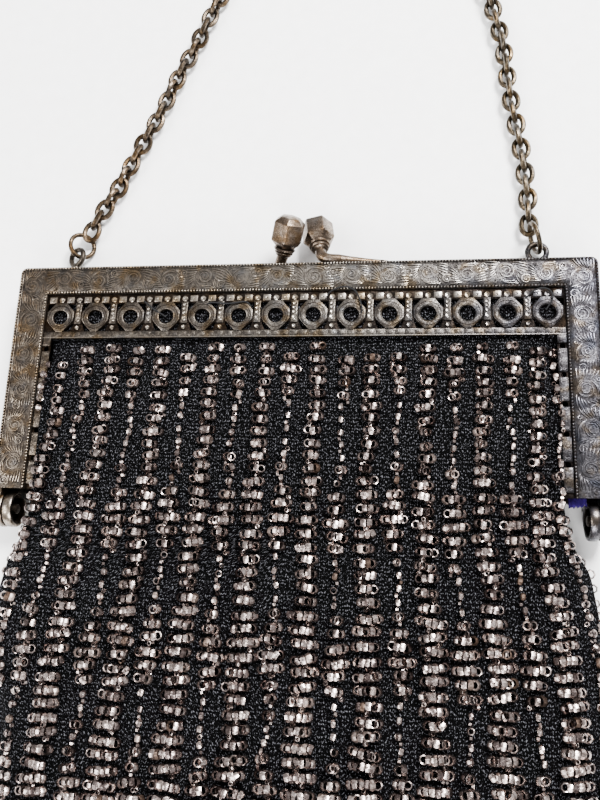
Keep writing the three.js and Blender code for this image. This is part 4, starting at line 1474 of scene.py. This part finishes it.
        outline = np.vstack([
            np.column_stack([front_x, front_z]),
            side(inner_right, bulge, front_z[-1], back_z[0], math.pi / 2),
            np.column_stack([back_x, back_z]),
            side(inner_left, bulge, front_z[0], back_z[-1], 3 * math.pi / 2),
        ])
        start = int(np.argmin(np.abs(front_x)))
        outline = np.roll(outline, -start, axis=0)
        closed = np.vstack([outline, outline[:1]])
        along = np.concatenate([[0], np.cumsum(np.linalg.norm(np.diff(closed, axis=0), axis=1))])
        spots = np.linspace(0, along[-1], self.around, endpoint=False)
        x = np.interp(spots, along, closed[:, 0])
        z = np.interp(spots, along, closed[:, 1])
        soft = folds * (np.sin(x * 0.33 + 0.06 * y) * 0.5 + np.sin(x * 0.11 - 0.09 * y + 1) * 0.5 - 0.6)
        z = np.where(z > level, z + soft, z)
        return np.column_stack([x, np.full(len(x), y), z]), spots

    def place(self, x: float, y: float, front: bool) -> tuple[np.ndarray, np.ndarray]:
        """Finds a place on the cloth.

        Args:
            x: How far across.
            y: The place down the bag.
            front: Whether the front or the back is meant.

        Returns:
            The place, and the direction out of the cloth there.
        """
        inset = self.bead_depth(y)
        reach = 0.6
        around = self.height(np.array([x - reach, x, x + reach]), y, inset, front)
        beside = []
        for level in (y - reach, y + reach):
            beside.append(self.height(np.array([x]), level, self.bead_depth(level), front)[0])
        hand = 1 if front else -1
        out = np.array([-(around[2] - around[0]) / 1.2, -(beside[1] - beside[0]) / 1.2, 1.0]) * hand
        return np.array([x, y, around[1]]), out / np.linalg.norm(out)

    def build(self, coat: bpy.types.Material) -> bpy.types.Object:
        """Knits the shell: its outside from foot to rim and its inside back down again.

        Args:
            coat: The knitting.

        Returns:
            The hollow bag.
        """
        rings, flat = [], []
        count = round((self.rim - self.foot) / self.row_step)
        for at in range(count + 1):
            y = self.foot + at * (self.rim - self.foot) / count
            folds = self.outer_folds if y < self.leg_top else 0.0
            ring, spots = self.ring(y, max(self.bead_depth(y), 0.05), folds)
            rings.append(ring)
            flat.append(np.column_stack([spots, np.full(self.around, -y)]))
        for at in range(self.inner_rows + 1):
            y = self.rim - at * (self.rim - self.foot - self.foot_wall) / self.inner_rows
            depth = self.collar_wall + (self.body_wall - self.collar_wall) * min(1.0, at / 8)
            folds = self.inner_folds if y < self.leg_top else 0.0
            ring, spots = self.ring(y, depth, folds)
            rings.append(ring)
            flat.append(np.column_stack([spots, np.full(self.around, y)]))
        draft = Draft()
        draft.skin(np.array(rings))
        uv = np.vstack(flat)
        spread = []
        for run, _, _ in draft.faces:
            corners = uv[run]
            length = corners[:, :, 0].max(axis=1, keepdims=True)
            wraps = (length - corners[:, :, 0]) > 60
            step = length + 0.8 * (run.shape[1] == 4)
            corners[:, :, 0] = np.where(wraps & (run.shape[1] == 4), step, corners[:, :, 0])
            spread.append(corners.reshape(-1, 2))
        draft.flat_map = np.vstack(spread)
        return draft.piece("knit_bag", [coat], "bag_knit", "bag")


@dataclass
class BeadWork:
    """The cut-steel beads: bars of beads across the bag in wide and narrow columns, row under row."""

    bag: KnitBag
    columns: int = 21
    first_row: float = -16.9
    last_row: float = -159.6
    row_pitch: float = 2.67
    length: float = 1.04
    radius: float = 1.04
    hole: float = 0.66
    seat: float = 0.9
    side_room: float = 1.3
    narrow_margin: float = 3.0
    bar_room: float = 0.75
    right_squeeze: float = 0.045
    left_spread: float = 0.8
    left_squeeze: float = 0.28
    left_edge_end: float = -33.0
    end_tilt: float = math.radians(54)
    unevenness: float = 0.14
    turned_share: float = 0.14
    column_pitch: tuple[tuple[float, float], ...] = (
        (-14.0, 5.82), (-29.0, 5.76), (-42.0, 5.75), (-60.0, 5.86), (-80.0, 6.2), (-102.0, 6.36), (-140.0, 6.3),
        (-158.0, 5.0))
    column_drift: tuple[tuple[float, float], ...] = (
        (-14.0, 0.2), (-29.0, 0.0), (-54.0, -0.95), (-80.0, -1.1), (-102.0, -1.7), (-158.0, -1.0))
    wide_counts: tuple[tuple[float, int], ...] = (
        (-22.0, 3), (-44.0, 3), (-72.0, 4), (-96.0, 5), (-150.0, 6), (-156.0, 4), (-170.0, 3))
    narrow_repeat: tuple[int, ...] = (2, 3, 3, 2, 2, 1, 1, 1, 1, 1, 2, 1, 3, 4, 5, 4, 3)
    narrow_cycle: tuple[int, ...] = (1, 1, 1, 1, 2, 3, 4, 5, 4, 3)

    def bead(self, sides: int, full: bool) -> tuple[np.ndarray, Faces]:
        """Grinds one bead: a short faceted tube, its hole along X.

        Args:
            sides: How many facets go round it.
            full: Whether its outside is ground in two slopes, or plain.

        Returns:
            Its corners and faces.
        """
        half = self.length / 2
        r = self.radius
        if full:
            loop = [(r * 0.84, -half), (r, 0), (r * 0.84, half), (self.hole, half * 0.82),
                    (self.hole, -half * 0.82)]
        else:
            loop = [(r * 0.9, -half), (r * 0.96, half), (self.hole, half * 0.8), (self.hole, -half * 0.8)]
        draft = Draft()
        draft.skin(turned(loop, (0, 0, 0), (1, 0, 0), sides), closed=True)
        return draft.corners[0], [run for run, _, _ in draft.faces]

    def wide_count(self, y: float) -> int:
        """Gives how many beads a wide column's bar has at a place down the bag."""
        return next(count for limit, count in self.wide_counts if y > limit)

    def narrow_count(self, row: int, column: int) -> int:
        """Gives how many beads a narrow column's bar has in a row."""
        if row < len(self.narrow_repeat):
            return self.narrow_repeat[row]
        return self.narrow_cycle[(row - len(self.narrow_repeat)) % len(self.narrow_cycle)]

    def bar(self, draft: Draft, template: tuple[np.ndarray, Faces], spot: np.ndarray, out: np.ndarray,
            count: int, lean: float, chance: random.Random, size: float = 1.0) -> None:
        """Strings one bar of beads on its loop of thread, which rises out of the cloth and dips back.

        Args:
            draft: The piece.
            template: One bead.
            spot: The bar's middle on the cloth.
            out: The direction out of the cloth.
            count: How many beads it has.
            lean: How far the bar leans from level, in radians.
            chance: The source of the beads' unevenness.
            size: How large its beads are, against a full bead.
        """
        across = np.cross(np.array([-math.sin(lean), math.cos(lean), 0.0]), out)
        across /= np.linalg.norm(across)
        down = np.cross(out, across)
        corners, faces = template
        for at in range(count):
            place = at - (count - 1) / 2
            ends = place / max((count - 1) / 2, 0.5)
            tilt = self.end_tilt * ends * (0.35 + 0.65 * abs(ends)) + chance.gauss(0, self.unevenness)
            yaw = chance.gauss(0, self.unevenness)
            if chance.random() < self.turned_share:
                tilt += chance.choice((-1, 1)) * chance.uniform(0.5, 1.1)
                yaw += chance.uniform(-0.6, 0.6)
            spin = (Matrix.Rotation(yaw, 3, "Z") @ Matrix.Rotation(tilt, 3, "Y")
                    @ Matrix.Rotation(chance.uniform(0, 6.28), 3, "X"))
            step = self.length * (1 - 0.07 * abs(ends))
            rise = self.seat * (1 - 0.22 * ends**2) + chance.uniform(-0.06, 0.06)
            shift = across * place * step + down * chance.uniform(-0.13, 0.13)
            middle = spot + shift * size + out * rise * size
            turned_bead = (corners * size * chance.uniform(0.93, 1.05)) @ np.array(spin).T
            placed = turned_bead @ np.array([across, down, out]) + middle
            draft.add(placed, faces, smooth=False, tone=chance.random())

    def column_place(self, column: int, y: float) -> float:
        """Finds a column's place across the bag, drawn in a little where the cloth turns over at the sides.

        Args:
            column: The column, counted from the left.
            y: The place down the bag.

        Returns:
            The place across.
        """
        pitch = np.interp(-y, [-at for at, _ in self.column_pitch], [width for _, width in self.column_pitch])
        drift = np.interp(-y, [-at for at, _ in self.column_drift], [shift for _, shift in self.column_drift])
        step = column - (self.columns - 1) / 2
        spread = -self.left_spread * np.clip(-step - 6, 0, 3) * np.clip((-30 - y) / 15, 0, 1)
        if step > 7:
            step -= self.right_squeeze * (step - 7) ** 1.8 * np.clip((y + 75) / 30, 0, 1)
        elif step < -9.5:
            step += self.left_squeeze
        return float(drift + spread + step * pitch)

    def widest(self, column: int, y: float) -> int:
        """Gives the most beads that a bar of a column holds: the two columns at the left edge are narrow.

        Args:
            column: The column's number, from the left.
            y: The bar's height.

        Returns:
            The number of beads.
        """
        if column == 0:
            return 1
        if column == 1:
            return 3 if y < -30 else 2
        return 6 if column % 2 else 5

    def field(self, front: bool, chance: random.Random) -> list[Draft]:
        """Strings every bar of one face.

        Args:
            front: Whether the front or the back is meant.
            chance: The source of the beads' unevenness.

        Returns:
            The face's parts, from the top down.
        """
        parts = 3 if front else 2
        drafts = [Draft() for _ in range(parts)]
        template = self.bead(8 if front else 6, front)
        crumb = self.bead(6, False)
        rows = int((self.first_row - self.last_row) / self.row_pitch) + 1
        for row in range(rows):
            draft = drafts[min(parts - 1, int(parts * (row / rows) ** 0.88))]
            level = self.first_row - row * self.row_pitch
            for column in range(self.columns):
                x = self.column_place(column, level)
                share = x / self.bag.mouth_half
                y = level - 0.8 * share**2 - 0.45 * math.sin(column * 1.7) + chance.uniform(-0.25, 0.25)
                reach = self.bag.measure("left" if x < 0 else "right", y) - self.side_room
                if y < self.last_row or abs(x) > reach + 1.2 or (row == 0 and chance.random() < 0.3):
                    continue
                if column == 0 and not -20.0 > y > self.left_edge_end:
                    continue
                count = self.wide_count(y) if column % 2 else self.narrow_count(row, column)
                if chance.random() < 0.15:
                    count = max(1, count + chance.choice((-1, 0, 1)))
                count = min(count, self.widest(column, y))
                if x > reach - self.narrow_margin:
                    count = min(count, 2)
                reach -= self.bar_room * (count - 1)
                lean = chance.gauss(0, 0.07) + 0.5 * max(0.0, share - 0.8) * min(1.0, max(0.0, (-48 - y) / 20))
                x += 0.3 * math.sin(row * 0.9 + column * 2.1) + chance.uniform(-0.22, 0.22)
                x = float(np.clip(x, -reach, reach))
                spot, out = self.bag.place(x, y, front)
                self.bar(draft, template, spot, out, count, lean, chance, 1.0 if count > 1 else 0.8)
                if front and chance.random() < 0.75:
                    between, out = self.bag.place(x, y - self.row_pitch / 2, front)
                    between[0] += chance.uniform(-0.5, 0.5) * min(count, 3)
                    self.bar(draft, crumb, between - out * 0.1, out, 1 + (count > 2), lean, chance, 0.5)
        return drafts

    def edges(self, draft: Draft, chance: random.Random) -> None:
        """Strings the beads that stand out along the two sides of the bag.

        Args:
            draft: The piece.
            chance: The source of the beads' unevenness.
        """
        template = self.bead(7, True)
        for side, hand in (("left", -1), ("right", 1)):
            y = self.bag.hinge_foot - 4
            while y > self.last_row + 4:
                x = hand * (self.bag.measure(side, y) - self.bag.side_inset - 0.9)
                level = FRAME_DEPTH / 2 * self.bag.measure("level", y) + chance.uniform(-1.2, 1.6)
                out = np.array([hand, 0.0, chance.uniform(0.0, 0.5)])
                out /= np.linalg.norm(out)
                spot = np.array([x, y, level])
                count = chance.choice((1, 2, 2, 3))
                self.bar(draft, template, spot, out, count, chance.uniform(-0.3, 0.3), chance)
                y -= self.row_pitch * chance.uniform(0.8, 1.2)

    def build(self, coat: bpy.types.Material) -> list[bpy.types.Object]:
        """Strings the front, the sides and the back.

        Args:
            coat: The cut steel.

        Returns:
            The fields of beads.
        """
        chance = random.Random(7)
        front = self.field(True, chance)
        self.edges(front[2], chance)
        back = self.field(False, chance)
        names = ("beads_front_upper", "beads_front_middle", "beads_front_lower", "beads_back_upper",
                 "beads_back_lower")
        return [draft.piece(name, [coat], "bag_knit") for name, draft in zip(names, front + back)]


@dataclass
class Trimmings:
    """What has worked loose: black thread on the gallery and a torn edge of violet lining by a hinge."""

    thread_radius: float = 0.17
    threads: tuple[tuple[tuple[float, float, float], ...], ...] = (
        ((6.8, -5.4, 9.3), (8.1, -3.8, 9.95), (11.1, -2.9, 10.2), (13.6, -4.1, 10.1), (14.9, -7.6, 9.9),
         (14.6, -9.6, 8.9)),
        ((49.7, -5.9, 9.3), (51.2, -4.5, 9.9), (53.1, -3.9, 10.1), (54.7, -4.4, 10.0), (55.2, -6.2, 9.9),
         (53.9, -8.4, 8.9)),
        ((-34.6, -5.3, 9.4), (-33.0, -6.6, 9.75), (-31.9, -7.5, 9.8), (-29.4, -8.9, 8.8)),
        ((-20.6, -6.6, 9.0), (-18.8, -6.0, 9.7), (-14.9, -6.3, 9.75), (-11.1, -5.9, 9.7), (-9.8, -6.8, 9.0)),
    )
    tab_left: float = 55.9
    tab_right: float = 60.3
    tab_top: float = -43.9
    tab_foot: float = -50.6
    tab_height: float = 7.85

    def loose_threads(self, coat: bpy.types.Material) -> bpy.types.Object:
        """Lays the loose threads over the gallery.

        Args:
            coat: The thread.

        Returns:
            The threads, as one piece.
        """
        draft = Draft()
        for points in self.threads:
            path = smooth_route(points, 0.35)
            draft.skin(sweep(path, circle(self.thread_radius, 7)))
        return draft.piece("loose_threads", [coat], "bag_knit")

    def lining(self, coat: bpy.types.Material) -> bpy.types.Object:
        """Hangs the torn edge of the lining.

        Args:
            coat: The lining.

        Returns:
            The torn edge.
        """
        draft = Draft()
        chance = random.Random(5)
        rings = []
        for x in np.linspace(self.tab_left + 0.9, self.tab_right, 24):
            share = (x - self.tab_left) / (self.tab_right - self.tab_left)
            foot = self.tab_foot + 0.9 * share + chance.uniform(-0.25, 0.25)
            down = np.linspace(0, 1, 14)
            y = self.tab_top + (foot - self.tab_top) * down
            z = self.tab_height + 0.22 * np.sin(share * 14 + down * 2) * (0.3 + 0.7 * down)
            face = np.column_stack([np.full(14, x), y, z + 0.11])
            rings.append(np.vstack([face, (face - (0, 0, 0.22))[::-1]]))
        draft.skin(np.array(rings))
        return draft.piece("lining_edge", [coat], "lining_cloth", "lining_tab")


# The studio

@dataclass
class Studio:
    """A pale card, soft light from the upper right and the camera over the purse's clasp."""

    card_half: float = 1500.0
    camera_place: tuple[float, float, float] = (24.905, -71.973, 173.286)
    camera_ahead: tuple[float, float, float] = (-0.1337, 0.2543, -0.9578)
    camera_up: tuple[float, float, float] = (-0.0025, 0.9664, 0.2569)
    lens: float = 36.0
    room_light: float = 0.86
    lights: tuple[tuple[str, tuple[float, float, float], float, float], ...] = (
        ("key", (260.0, 330.0, 520.0), 260.0, 20.0), ("fill", (-420.0, -160.0, 460.0), 420.0, 7.0),
        ("front", (60.0, -520.0, 380.0), 320.0, 6.0),
    )

    def card(self, coat: bpy.types.Material) -> None:
        """Lays the card that the purse rests on.

        Args:
            coat: The card.
        """
        half = self.card_half * MM
        mesh = bpy.data.meshes.new("card")
        drop = -0.05 * MM
        corners = [(x, y, drop) for x, y in rectangle(-half, -half, half, half)]
        mesh.from_pydata(corners, [], [(0, 1, 2, 3)])
        mesh.materials.append(coat)
        card = bpy.data.objects.new("card", mesh)
        bpy.context.scene.collection.objects.link(card)

    def light(self) -> None:
        """Hangs the soft lights and sets the pale room round them."""
        for name, place, size, power in self.lights:
            lamp = bpy.data.lights.new(name, "AREA")
            lamp.shape = "DISK"
            lamp.size = size * MM
            lamp.energy = power
            holder = bpy.data.objects.new(name, lamp)
            holder.location = Vector(place) * MM
            holder.rotation_euler = (-Vector(place)).to_track_quat("-Z", "Y").to_euler()
            bpy.context.scene.collection.objects.link(holder)
        world = bpy.data.worlds.new("room")
        world.use_nodes = True
        background = world.node_tree.nodes["Background"]
        background.inputs["Color"].default_value = shade("#f4f4f6")
        background.inputs["Strength"].default_value = self.room_light
        bpy.context.scene.world = world

    def camera(self) -> None:
        """Sets the camera where the photograph was taken from."""
        ahead = Vector(self.camera_ahead).normalized()
        up = Vector(self.camera_up).normalized()
        right = ahead.cross(up).normalized()
        up = right.cross(ahead)
        lens = bpy.data.cameras.new("camera")
        lens.lens = self.lens
        lens.sensor_width = 36.0
        lens.clip_start = 0.01
        lens.clip_end = 10.0
        holder = bpy.data.objects.new("camera", lens)
        turn = Matrix((right, up, -ahead)).transposed().to_4x4()
        holder.matrix_world = Matrix.Translation(Vector(self.camera_place) * MM) @ turn
        bpy.context.scene.collection.objects.link(holder)
        bpy.context.scene.camera = holder


def main() -> None:
    """Builds the studio and every piece of the purse."""
    studio = Studio()
    studio.camera()
    studio.card(PALE_CARD.material())
    studio.light()
    struck = [STRUCK_GROUND.material(), WORN_RELIEF.material(), DEEP_TARNISH.material()]
    for half in Half:
        FrameHalf(half).build(struck)
    iron = HINGE_IRON.material()
    HingePins().build(iron)
    knob = CAST_KNOB.material()
    clasp = Clasp()
    clasp.back_knob([knob, iron])
    clasp.front_knob([knob, iron])
    wire = CHAIN_WIRE.material()
    CarryingRings().build(struck[0], wire)
    Chain().build(wire)
    bag = KnitBag()
    bag.build(BLACK_KNIT.material())
    BeadWork(bag).build(CUT_STEEL.material())
    trimmings = Trimmings()
    trimmings.loose_threads(BLACK_THREAD.material())
    trimmings.lining(VIOLET_LINING.material())


if __name__ == "__main__":
    logging.basicConfig(level=logging.INFO, format="%(name)s: %(message)s")
    main()
